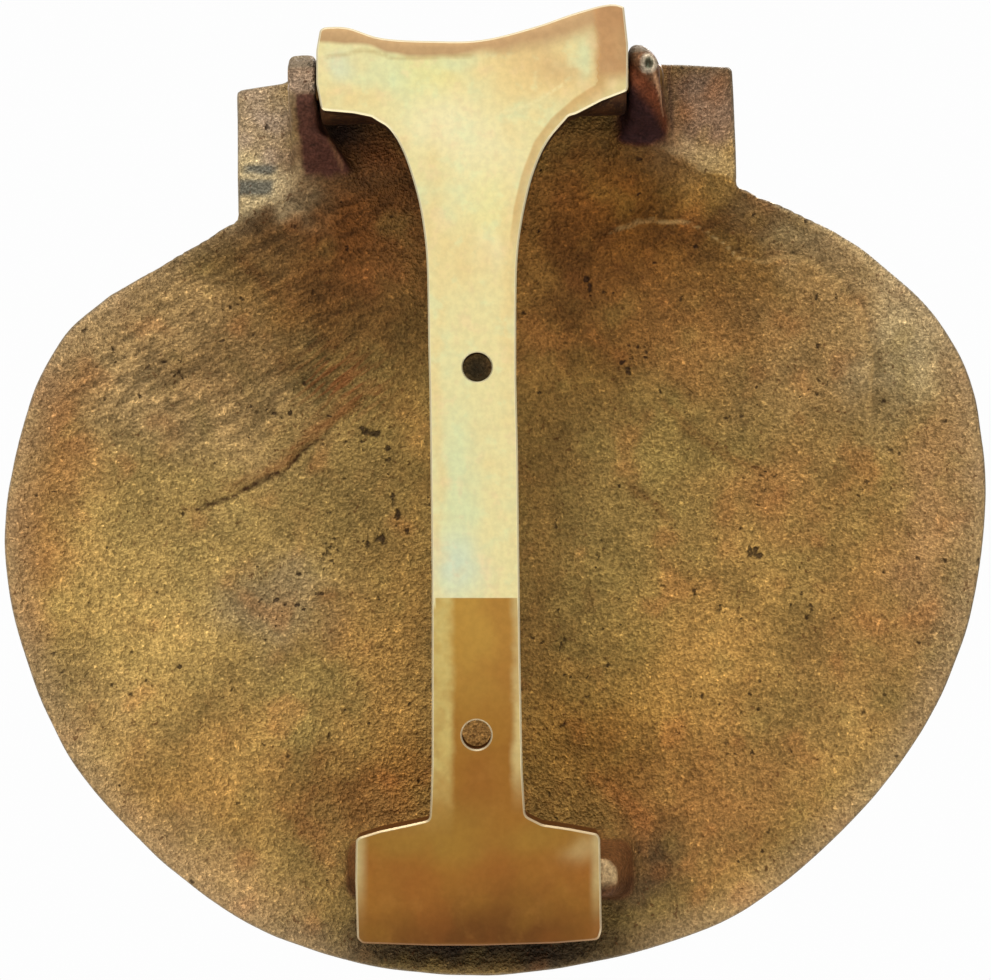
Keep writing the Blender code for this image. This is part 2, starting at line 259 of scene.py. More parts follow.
def valley_distance(x, z):
    """Distance across the fan to the nearest valley between two ribs."""
    plus, minus = fan_angles()
    distance = np.hypot(x - UMBO[0], z - UMBO[1])
    turns = (plus - angle_from_down(x, z, UMBO)) / (plus - minus) * RIB_COUNT
    return distance * (plus - minus) / RIB_COUNT * np.abs(turns - np.round(turns))


def front_thickness(x, z):
    """Thickness of the shell in front of its back plane, with ribs and growth lines."""
    plus, minus = fan_angles()
    angle = angle_from_down(x, z, UMBO)
    distance = np.hypot(x - UMBO[0], z - UMBO[1])
    angles, radii = polar(rim_path(), UMBO)
    reach = np.interp(angle, angles, radii)
    along = np.clip(distance / reach, 0.0, 1.0)
    across = np.clip(2 * (plus - angle) / (plus - minus) - 1, -1.0, 1.0)
    rise = (1 - (1 - along) ** 6) * (1 - along**4) / 0.93
    crown = np.maximum(0.0, 1 - np.abs(across) ** 2.4) ** 0.55
    pitch = distance * (plus - minus) / RIB_COUNT
    turn = math.pi * RIB_COUNT * (across + 1)
    rib = 1.55 * np.sqrt(np.sin(turn / 2) ** 2 + 0.03) - 1.2
    fade = (1 - 0.55 * step(0.88, 1.0, along)) * np.minimum(1.0, crown * 1.5)
    height = EDGE_THICKNESS + DOME_HEIGHT * rise * crown + 0.055 * pitch * rib * fade
    growth = 0.0
    for at, deep in GROWTH_LINES:
        wobble = at + 0.006 * np.sin(across * 9 + at * 40) + 0.01 * np.abs(np.sin(turn / 2))
        growth = growth - deep * step(wobble - 0.012, wobble, along) * step(wobble + 0.03, wobble, along)
    height = height + growth * fade
    ear = (np.abs(across) >= 1.0) & (distance > 1.0)
    ear_rib = 0.22 * np.cos((angle - np.where(angle > 0, plus, minus)) * 42)
    ear_fade = step(2.0, 9.0, distance) * step(0.0, 0.05, np.abs(angle) - np.where(angle > 0, plus, -minus))
    return np.where(ear, EDGE_THICKNESS + ear_rib * ear_fade - 0.15 * ear_fade, height)


CREASE = [(54.0, 7.0), (47.4, 8.6), (41.2, 12.2), (36.0, 14.6), (32.2, 18.5), (26.4, 23.4), (20.9, 28.0)]
LOBES = [
    (-17.5, 46.5), (-19.8, 51.5), (-23.7, 58.0), (-29.5, 60.2), (-37.0, 59.8), (-43.0, 56.8), (-48.0, 53.0),
    (-53.0, 52.8), (-59.0, 53.0), (-65.0, 49.4), (-69.6, 43.5), (-71.8, 35.0), (-72.2, 26.0), (-70.6, 17.5),
]
LOWERED = [*LOBES, (-40.0, 5.0), (-20.0, 25.0)]


def wavy(x, z):
    """The point moved a little, so that a line that is measured from it comes out ragged."""
    return x + rough(x, z, (0.5, 3.2, 11), (0.25, 1.5, 13)), z + rough(x, z, (0.5, 3.2, 12), (0.25, 1.5, 14))


def groove(x, z, width):
    """1 on the line that the core left between the -X lug and the ear."""
    return bell((x + 34.9 - 0.05 * (z - 80)) / width) * step(71.0, 76.0, z)


def back_relief(x, z):
    """What the sand mould left on the back: swells, the cold shut, the core's edge and the groove."""
    relief = rough(x, z, (0.30, 23.0, 3), (0.13, 9.0, 5), (0.06, 3.6, 7), (0.05, 1.9, 9))
    at = wavy(x, z)
    gap, along = line_distance(*at, CREASE)
    depth = 0.55 * step(0.0, 0.07, along) * (1 - 0.6 * step(0.5, 0.9, along))
    side = np.where(height_over(*at, CREASE) > 0, 1.0, -0.4)
    relief = relief - depth * bell(gap / 0.75) + 0.28 * bell(gap / 5.0) * side * step(0.1, 0.5, along)
    relief = relief - 0.3 * groove(x, z, 0.55)
    gap, along = line_distance(*at, LOBES)
    edge = faded(along, 0.15, 0.93)
    drop = step(1.1, -1.1, signed_distance(*at, LOWERED)) - 0.5
    return relief + 0.5 * edge * drop * bell(gap / 7.0) + 0.2 * edge * bell(gap / 0.9)


def dish_depth(x, z):
    """The hollow of the back, and the share of the way from its middle to its lip."""
    rim = [p + (BODY_CENTRE - p) / math.dist(p, BODY_CENTRE) * RIM_LAND for p in rim_path()]
    angles, radii = polar([*rim, *DISH_TOP], BODY_CENTRE)
    angle = angle_from_down(x, z, BODY_CENTRE)
    share = np.hypot(x - BODY_CENTRE[0], z - BODY_CENTRE[1])
    share = share / np.interp(angle, angles, radii, period=math.tau)
    return DISH_DEPTH * (1 - np.clip(share, 0.0, 1.0) ** 2.5), share


class Fields:
    """The shell's outline, front and back as functions of (x, z), kept on a fine grid."""

    def __init__(self):
        self.count = ((FIELD_HIGH - FIELD_LOW) / FIELD_STEP).astype(int)
        lines = [low + FIELD_STEP * np.arange(count) for low, count in zip(FIELD_LOW, self.count)]
        x, z = np.meshgrid(*lines, indexing="ij")
        outline = self.blurred(signed_distance(x, z, shell_outline()), 2)
        front = SHELL_BACK - front_thickness(x, z)
        depth, share = dish_depth(x, z)
        relief = back_relief(x, z) * (0.35 + 0.65 * step(1.02, 0.93, share))
        lip = share + rough(x, z, (0.008, 3.0, 17), (0.005, 1.3, 18))
        by_ears = step(42.0, 56.0, z) * step(14.0, 26.0, np.abs(x))
        relief = relief - by_ears * step(1.005, 0.975, lip) - 0.35 * (1 - by_ears) * step(1.0, 0.985, lip)
        back = self.blurred(SHELL_BACK - depth, 1) + relief
        self.kept = np.stack([outline, front, back, self.slope(front), self.slope(back), share])

    @staticmethod
    def blurred(values, times):
        """Rounds the corners of a field a little."""
        for _ in range(times):
            for axis in (0, 1):
                values = (np.roll(values, 1, axis) + 2 * values + np.roll(values, -1, axis)) / 4
        return values

    @staticmethod
    def slope(values):
        gx, gz = np.gradient(values, FIELD_STEP)
        return np.sqrt(1 + gx**2 + gz**2)

    def sample(self, x, z):
        """Outline, front, back, front slope, back slope and dish share at each point."""
        u = np.clip((x - FIELD_LOW[0]) / FIELD_STEP, 0, self.count[0] - 1.001)
        v = np.clip((z - FIELD_LOW[1]) / FIELD_STEP, 0, self.count[1] - 1.001)
        i, j = u.astype(int), v.astype(int)
        u, v = u - i, v - j
        low = self.kept[:, i, j] * (1 - u) + self.kept[:, i + 1, j] * u
        high = self.kept[:, i, j + 1] * (1 - u) + self.kept[:, i + 1, j + 1] * u
        return low * (1 - v) + high * v


fields = Fields()


# ---------------------------------------------------------------- the shell's distance field


def hinge_frame(x, y, z):
    """Coordinates along the pin, towards the door and up across the pin."""
    dx, dy, dz = x - PIN_CENTRE[0], y - PIN_CENTRE[1], z - PIN_CENTRE[2]
    c, s = math.cos(PIN_TILT), math.sin(PIN_TILT)
    return c * dx - s * dz, dy, s * dx + c * dz


def lug_side(drop):
    """A lug's outline across the pin, with its gusset."""
    root = SHELL_BACK - PIN_CENTRE[1] - 3.0
    side = [(LUG_RADIUS * math.cos(a), LUG_RADIUS * math.sin(a)) for a in np.radians(np.arange(96, -42, -6))]
    foot = [(root + 3.0, -drop), (root, -drop - 2.0), (root, LUG_RADIUS - 1.2)]
    return [*side, *foot, (root + 3.0, LUG_RADIUS - 0.7)]


def lug_field(x, y, z, ends, drop, flare, land, edge):
    u, v, w = hinge_frame(x, y, z)
    side = signed_distance(v, w, lug_side(drop))
    middle, half = (ends[0] + ends[1]) / 2, (ends[1] - ends[0]) / 2
    sign = 1.0 if middle > 0 else -1.0
    clear = step(LUG_RADIUS + 0.4, LUG_RADIUS + 2.4, np.hypot(v, w)) * step(-3.0, -6.0, w)
    spread = flare * clear * step(-4.0, -15.0, w)
    taper = 0.05 * np.maximum(0.0, 2.0 - v)
    inner = (middle - u) * sign - half - spread - taper * clear
    outer = (u - middle) * sign - half - taper
    field = smax(side, smax(inner, outer, edge), edge)
    return smax(field, v - land, 0.5)


def boss_field(x, y, z):
    land = -FOOT_THICKNESS - STRIKE_GAP
    share = np.clip((land - y) / (land - BOSS_BASE_Y), 0.0, 1.6)
    half_x = (BOSS_LAND[0] + (BOSS_BASE[0] - BOSS_LAND[0]) * share) / 2
    half_z = (BOSS_LAND[1] + (BOSS_BASE[1] - BOSS_LAND[1]) * share) / 2
    wide = np.abs(x - BOSS_CENTRE[0]) - half_x
    tall = np.abs(z - BOSS_CENTRE[1]) - half_z
    return smax(smax(wide, tall, 3.2) * 0.94, y - land, 1.3)


def shell_field(x, y, z):
    """Signed distance to the cast shell's surface."""
    outline, front, back, front_slope, back_slope, _ = fields.sample(x, z)
    before = (front - y) / front_slope
    rim = outline + 0.12 * flat_noise(x, z, 6.0, 21)
    field = smax(smax((y - back) / back_slope, before, 1.0), rim, 1.3)
    near = (z > 58.0) & (np.abs(x) > 18.0) & (np.abs(x) < 44.0)
    if near.any():
        px, py, pz = x[near], y[near], z[near]
        u, v, w = hinge_frame(px, py, pz)
        reach = np.hypot(v, w)
        plus, minus = (lug_field(px, py, pz, *shape) for shape in LUG_SHAPES)
        # The outer side of the -X lug leans in towards its tip.
        minus = smax(minus, -(u + 32.9) * 0.96 + (v - 2.0) * 0.27, 1.6)
        fall = (px + 30.9) * 0.42 + (py + 1.8) * 0.72 - (pz - 82.8) * 0.55
        minus = smax(minus, np.minimum(fall, reach - 4.0), 0.8)
        minus = smax(minus, (pz - 87.7) * 0.66 - (px + 30.5) * 0.75, 0.9)
        lugs = smax(np.minimum(plus, minus), SHELL_BACK - 1.6 - py, 0.6)
        sand = 0.1 * noise(px, py, pz, 3.1, 31) + 0.06 * noise(px, py, pz, 1.4, 32)
        lugs = lugs + sand * step(0.2, 1.0, np.abs(np.abs(u) - 27.6))
        wide = 1.6 * step(0.0, -1.0, px) * step(86.0, 81.0, pz)
        joined = smin(field[near], lugs, 1.9 + wide - 0.9 * step(84.0, 87.0, pz))
        clear_of_head = np.abs(u) < 28.05
        keep = smax(joined, np.where(clear_of_head, LUG_RADIUS + 0.45 - reach, -9.0), 0.2)
        joined = np.where(clear_of_head & (u > 0), keep, joined)
        joined = smax(joined, BORE_RADIUS - reach, 0.25)
        dent = np.hypot(np.hypot((u - MARK[0]) / 0.9, (w - MARK[1]) / 1.2), (v - 5.8) / 1.1)
        field[near] = smax(joined, (1.0 - dent) * 0.9, 0.2)
    low = (z < -44.0) & (z > -74.0) & (np.abs(x) < 42.0)
    if low.any():
        px, py, pz = x[low], y[low], z[low]
        boss = boss_field(px, py, pz) + 0.12 * noise(px, py, pz, 4.0, 41) * step(-8.9, -10.5, py)
        field[low] = smin(field[low], smax(boss, before[low] + 1.8, 0.4), 2.4)
    return field


def spaced(low, high, fine):
    """Grid lines from low to high, closer together inside the fine stretches."""
    found = [low]
    while found[-1] < high:
        close = any(a <= found[-1] < b for a, b in fine)
        found.append(found[-1] + (FINE if close else COARSE))
    return np.array(found)


def surface_net(axes, field):
    """Vertices and quads of the zero surface: one vertex per cell that the surface crosses."""
    counts = [len(axis) for axis in axes]
    x, y, z = np.meshgrid(*axes, indexing="ij")
    values = field(x.ravel(), y.ravel(), z.ravel()).reshape(counts)
    solid = values < 0
    strides = np.array((counts[1] * counts[2], counts[2], 1))
    cells, points, faces = [], [], []
    for axis in range(3):
        lower = tuple(slice(0, -1) if k == axis else slice(1, -1) for k in range(3))
        upper = tuple(slice(1, None) if k == axis else slice(1, -1) for k in range(3))
        cross = solid[lower] != solid[upper]
        index = np.argwhere(cross) + [0 if k == axis else 1 for k in range(3)]
        a, b = values[lower][cross], values[upper][cross]
        where = index.astype(float)
        where[:, axis] += a / (a - b)
        p, q = [k for k in range(3) if k != axis]
        ring = []
        for dp, dq in ((0, 0), (-1, 0), (-1, -1), (0, -1)):
            cell = index.copy()
            cell[:, p] += dp
            cell[:, q] += dq
            ring.append(cell @ strides)
            cells.append(ring[-1])
            points.append(where)
        quad = np.stack(ring, 1)
        turn = solid[lower][cross] == (axis != 1)
        quad[~turn] = quad[~turn][:, ::-1]
        faces.append(quad)
    cells, points, faces = np.concatenate(cells), np.concatenate(points), np.concatenate(faces)
    used, place = np.unique(cells, return_inverse=True)
    total = np.bincount(place)
    vertices = []
    for k in range(3):
        index = np.bincount(place, points[:, k]) / total
        vertices.append(np.interp(index, np.arange(counts[k]), axes[k]))
    return np.stack(vertices, 1), np.searchsorted(used, faces)


def settled(vertices, field, rounds=3):
    """Moves each vertex onto the true surface."""
    e = 0.02
    for _ in range(rounds):
        x, y, z = vertices.T
        here = field(x, y, z)
        ahead = [field(x + e, y, z), field(x, y + e, z), field(x, y, z + e)]
        slope = np.stack([a - here for a in ahead], 1) / e
        size = np.maximum((slope**2).sum(1), 0.05)
        move = -(here / size)[:, None] * slope
        length = np.linalg.norm(move, axis=1, keepdims=True)
        vertices = vertices + move * np.minimum(1.0, 0.25 / np.maximum(length, 1e-9))
    return vertices


def placed(name, data):
    """Puts a mesh, a light or a camera into the scene."""
    obj = bpy.data.objects.new(name, data)
    bpy.context.scene.collection.objects.link(obj)
    return obj


def store(obj, **named):
    """Keeps a number or a colour at each vertex, for the materials."""
    for name, values in named.items():
        kind, key = "FLOAT", "value"
        if np.ndim(values) == 2:
            kind, key = "FLOAT_COLOR", "color"
            values = np.concatenate([np.clip(values, 0.0, 1.0), np.ones((len(values), 1))], 1)
        made = obj.data.attributes.new(name, kind, "POINT")
        made.data.foreach_set(key, np.ravel(values).astype(np.float32))


def read(items, name, width, kind=float):
    """One property of all the items, with a row for each."""
    values = np.zeros(len(items) * width, kind)
    items.foreach_get(name, values)
    return values.reshape(-1, width)


def bulge(data):
    """The vertices in millimetres, and how far each stands out of its neighbours, along its normal."""
    count = len(data.vertices)
    co = read(data.vertices, "co", 3) / MM
    a, b = read(data.edges, "vertices", 2, int).T
    total = np.bincount(a, minlength=count) + np.bincount(b, minlength=count)

    def mean(values):
        near = np.bincount(a, values[b], count) + np.bincount(b, values[a], count)
        return near / np.maximum(total, 1)

    middle = np.stack([mean(co[:, k]) for k in range(3)], 1)
    out = ((co - middle) * read(data.vertices, "normal", 3)).sum(1)
    for _ in range(2):
        out = 0.5 * out + 0.5 * mean(out)
    return co, out


def srgb(r, g, b):
    """An 8-bit sRGB colour as linear values."""
    return tuple(c / 255 / 12.92 if c <= 10 else ((c / 255 + 0.055) / 1.055) ** 2.4 for c in (r, g, b))


def lay(colour, rgb, share):
    """Lays a colour over the colours, with its own share at each point."""
    return colour + share[:, None] * (np.array(srgb(*rgb)) - colour)


def washed(colour, x, z, tints, spots, ragged):
    """Lays soft-edged spots of tint over the colours."""
    wx = x + rough(x, z, (ragged, 6.0, 61), (0.4 * ragged, 2.4, 62))
    wz = z + rough(x, z, (ragged, 6.0, 63), (0.4 * ragged, 2.4, 64))
    for tint, at_x, at_z, size_x, size_z, turn, strength in spots:
        c, s = math.cos(math.radians(turn)), math.sin(math.radians(turn))
        u = ((wx - at_x) * c + (wz - at_z) * s) / size_x
        v = ((wz - at_z) * c - (wx - at_x) * s) / size_z
        colour = lay(colour, tints[tint], strength * np.exp(-((u * u + v * v) ** 1.3) * 0.8))
    return colour


# Tints of the shell's patina and of its painted shade, in 8-bit sRGB.
TINTS = {
    "tan": (172, 138, 88), "ochre": (184, 148, 80), "gold": (178, 134, 70), "olive": (150, 126, 68),
    "dull": (146, 122, 84), "rust": (168, 108, 58), "rose": (176, 126, 88), "umber": (120, 82, 38),
    "dark": (88, 52, 22), "black": (50, 36, 30), "plum": (104, 72, 58), "painted_shade": (26, 22, 25),
    "ash": (164, 142, 118), "cream": (196, 176, 132),
}
# The shell's back: tint, x, z, half sizes, turn and strength.
# The dark spots under the head, below the lips by the ears, behind the bar, round the boss and under the foot
# are painted shade.
PATINA_AND_SHADE = [
    ("dark", 20, 60, 24, 20, 10, 0.85), ("umber", -22, 56, 22, 22, -10, 0.8),
    ("dark", 27, 47, 8, 12, -20, 0.5), ("umber", 34, 44, 18, 10, 0, 0.6), ("rust", -18, 60, 14, 14, 0, 0.3),
    ("rust", 18, 56, 12, 10, 0, 0.3), ("dark", 21, 67, 9, 9, 0, 0.25), ("dark", -20, 70, 10, 8, 0, 0.35),
    ("dark", -46, 60, 15, 4, -22, 0.7), ("dark", -18, 50, 3, 12, 10, 0.45),
    ("gold", -10.5, 46, 3.5, 16, 0, 0.5), ("gold", 10.5, 30, 3.5, 22, 0, 0.3),
    ("tan", 54, 28, 20, 12, 20, 0.8), ("umber", 50, 33, 10, 8, 10, 0.4), ("tan", 62, 46, 14, 7, 25, 0.6),
    ("rust", 77, 24, 6, 12, -15, 0.5), ("rust", 80, -2, 7, 16, 5, 0.6), ("ochre", 62, -10, 16, 20, 10, 0.85),
    ("gold", 52, -44, 22, 12, -30, 0.8), ("dull", 38, -10, 11, 7, 0, 0.7), ("olive", 30, -32, 9, 10, 0, 0.7),
    ("rust", 27, -17, 6, 5, 0, 0.3), ("gold", 18, -16, 8, 13, 0, 0.55), ("gold", 18, -33, 8, 12, 0, 0.5),
    ("rust", 20, -45, 10, 6, 0, 0.4), ("umber", 13, 8, 5, 24, 0, 0.2), ("umber", -13, 6, 6, 34, 0, 0.35),
    ("gold", 12, -26, 5, 20, 0, 0.4), ("gold", -12, -28, 5, 22, 0, 0.4), ("tan", 48, -60, 20, 7, 35, 0.75),
    ("tan", 70, -32, 8, 10, 0, 0.4), ("cream", -62, 54, 12, 5, 28, 0.45), ("olive", -26, -10, 9, 14, 0, 0.7),
    ("olive", -36, 20, 10, 9, -30, 0.7), ("rust", -56, 10, 10, 7, -30, 0.4),
    ("rust", -42, 40, 16, 12, 0, 0.35), ("gold", -42, -18, 16, 16, 0, 0.6),
    ("rust", -72, -12, 9, 20, 10, 0.32), ("rose", -84, 6, 6, 26, 5, 0.4), ("tan", -68, 40, 14, 18, 30, 0.7),
    ("rust", -42, -46, 18, 11, -10, 0.45), ("umber", -24, -40, 8, 10, 0, 0.6),
    # The near-black spot under the foot is painted shade.
    ("dark", -30, -52, 6, 8, 0, 0.6), ("umber", 24, -44, 14, 6, 0, 0.6), ("painted_shade", -3, -72, 34, 7, 0, 0.95),
    ("black", -29, -61, 7, 6, 0, 0.7), ("plum", -41, 80, 10, 9, 0, 0.8), ("dull", -43, 69, 5, 4, 0, 0.7),
    ("dark", -36.5, 81, 1.6, 3, 30, 0.5), ("ash", 41, 76, 9, 13, 0, 0.9), ("cream", 42, 64, 5, 4, 0, 0.6),
    ("cream", 38, 65, 8, 4, 12, 0.75), ("umber", 40, 57, 8, 4, -20, 0.4), ("cream", -78, 40, 9, 13, 20, 0.6),
    ("umber", -50, 46, 18, 8, -10, 0.35), ("ash", -41, 77, 8, 10, 0, 0.3), ("ochre", -44, 66, 6, 4, 0, 0.5),
]
# Broad shifts of hue and brightness: x, z, half sizes, and what red, green and blue are multiplied by.
SHIFTS = [
    (56, 0, 34, 50, (0.94, 1, 1.14)), (38, -20, 22, 22, (1.16, 1.16, 1.16)),
    (-30, 62, 20, 14, (1.14, 0.97, 0.62)), (-20, -36, 20, 14, (1.2, 1.08, 0.84)),
    (-84, -2, 12, 30, (0.95, 1, 1.04)), (23.5, 58, 6, 10, (0.9, 0.82, 0.68)),
    (33, 58, 6, 4.5, (1.3, 1.28, 1.26)), (17.5, 72, 5, 4, (1.8, 1.4, 1.4)),
    (-22, 36, 8, 9, (1.16, 1.08, 0.94)), (47, 48, 11, 7, (1.24, 1.24, 1.3)),
    (69, 34, 9, 14, (1.2, 1.22, 1.34)), (-9, 28, 6, 26, (1.22, 1.2, 1.14)),
    (-47, -1, 13, 13, (1.2, 1.2, 1.2)), (-31, -19, 6, 7, (0.84, 0.86, 0.84)),
    (-40, -42, 7, 7, (0.88, 0.88, 0.86)), (-73, -36, 9, 13, (1.2, 1.2, 1.26)),
    (12, -42, 12, 8, (1.1, 1, 0.86)), (34, 12, 14, 14, (1.12, 1.12, 1.1)),
    (-66, 30, 10, 14, (0.94, 0.9, 0.86)), (28, 54, 7, 10, (0.86, 0.86, 0.86)),
    (12.5, 5, 6, 50, (1.16, 1.16, 1.14)), (47, 37.5, 6, 6, (0.84, 0.84, 0.84)),
    (69.5, 3, 7, 8, (1.2, 1.2, 1.2)), (68, -30, 8, 9, (1.2, 1.2, 1.2)), (44, -62, 12, 6, (1.38, 1.35, 1.4)),
    (-54, 15, 6, 6, (0.85, 0.86, 0.88)), (-20, 4, 6, 6, (0.86, 0.86, 0.88)),
    (-66, 50, 8, 6, (1.2, 1.18, 1.16)), (-44, -64, 9, 6, (1.25, 1.22, 1.22)),
]
# Clusters of casting pits, and single pits: x, z and radius.
PITTED = [
    (22, 20.6, 2.6), (17, 16.8, 1.6), (10.8, 10, 2.4), (8.6, 5.2, 2.2), (14.4, 3.6, 2.6), (40.6, 25.6, 2.4),
    (36, 25, 2.2), (28, -1, 3.5), (38, -12.5, 4.5), (30, -9, 2.5), (20, -10, 3), (56, 33, 4),
    (-21.6, 46.8, 1.8), (-20.6, 40.5, 2.2), (-29.4, 36.2, 2.4), (-38, 45, 2.4), (-48.5, 24.8, 3),
    (-52, 12, 4), (-46, -40, 2.4), (-43, -28, 2.5), (-30, 36, 2), (-60, -12, 4), (-62, 30, 3), (-14, -20, 5),
    (-20, 0, 5), (-56, -38, 3), (-72, 12, 3), (66, 8, 2.5), (44, 44, 4), (64, 36, 4),
]
PITS = [
    (21.7, 21.8, 0.9), (20.2, 21.4, 1.1), (18.9, 21.1, 0.8), (17, 18.6, 1), (24.9, 13, 0.6), (15.9, 9.5, 0.9),
    (15.5, 7.5, 0.8), (15.2, 5.7, 1.1), (13.3, 2.8, 0.9), (20.9, 0.3, 1), (18, 1.4, 1.3), (33.4, -4.8, 0.8),
    (29.2, -8.7, 0.6), (30.2, -8.9, 0.5), (40.1, -9.7, 0.5), (38.8, -10.3, 0.6), (37.5, -10, 0.5),
    (36.2, -10.9, 0.6), (35, -11.5, 0.5), (33.7, -10.8, 0.6), (32.6, -11.7, 0.5), (18.1, -8.6, 0.8),
    (39, 25.4, 0.7), (37.6, 25.1, 0.5), (34.9, 24.9, 0.7), (33.8, 23.6, 0.6), (32.7, 24.3, 0.5),
    (-19.9, 49.5, 0.9), (-20.7, 48, 0.8), (-26.6, 34.6, 0.9), (-27.9, 32.7, 1), (-38.7, 30, 0.6),
    (-51.4, 29.6, 0.7), (-58.6, 27.2, 0.6), (-46.3, 23.8, 0.7), (-61.3, 13.1, 0.8), (-51, -0.8, 1.4),
    (-52.6, -1.6, 0.8), (-58.6, -6.8, 0.9), (-34.2, -7.5, 0.8), (-40.5, -8.4, 0.9), (-45.1, -11.3, 1),
    (-55.5, -4.8, 0.7), (-14.9, -12, 0.7), (-24, -22, 0.8), (8.5, -26, 0.7), (-13, -46, 0.6), (24, 55, 0.7),
    (30.5, 47, 0.6), (47, 38, 0.7), (55, -22, 0.6), (-62, 46, 0.8), (-70, -30, 0.8),
]
# Dark lines on the shell's back.
VEINS = [
    [(-31, 30), (-38.6, 22.6), (-46.6, 16.7), (-58, 12)], [(-26.5, 13), (-31.5, 9), (-37, 4)],
    [(-21, 54), (-23.5, 57), (-26.5, 59.5)], [(30, -9), (28, -9.2), (26, -8.6)],
    [(45, 54), (40, 50), (36.5, 44)],
]


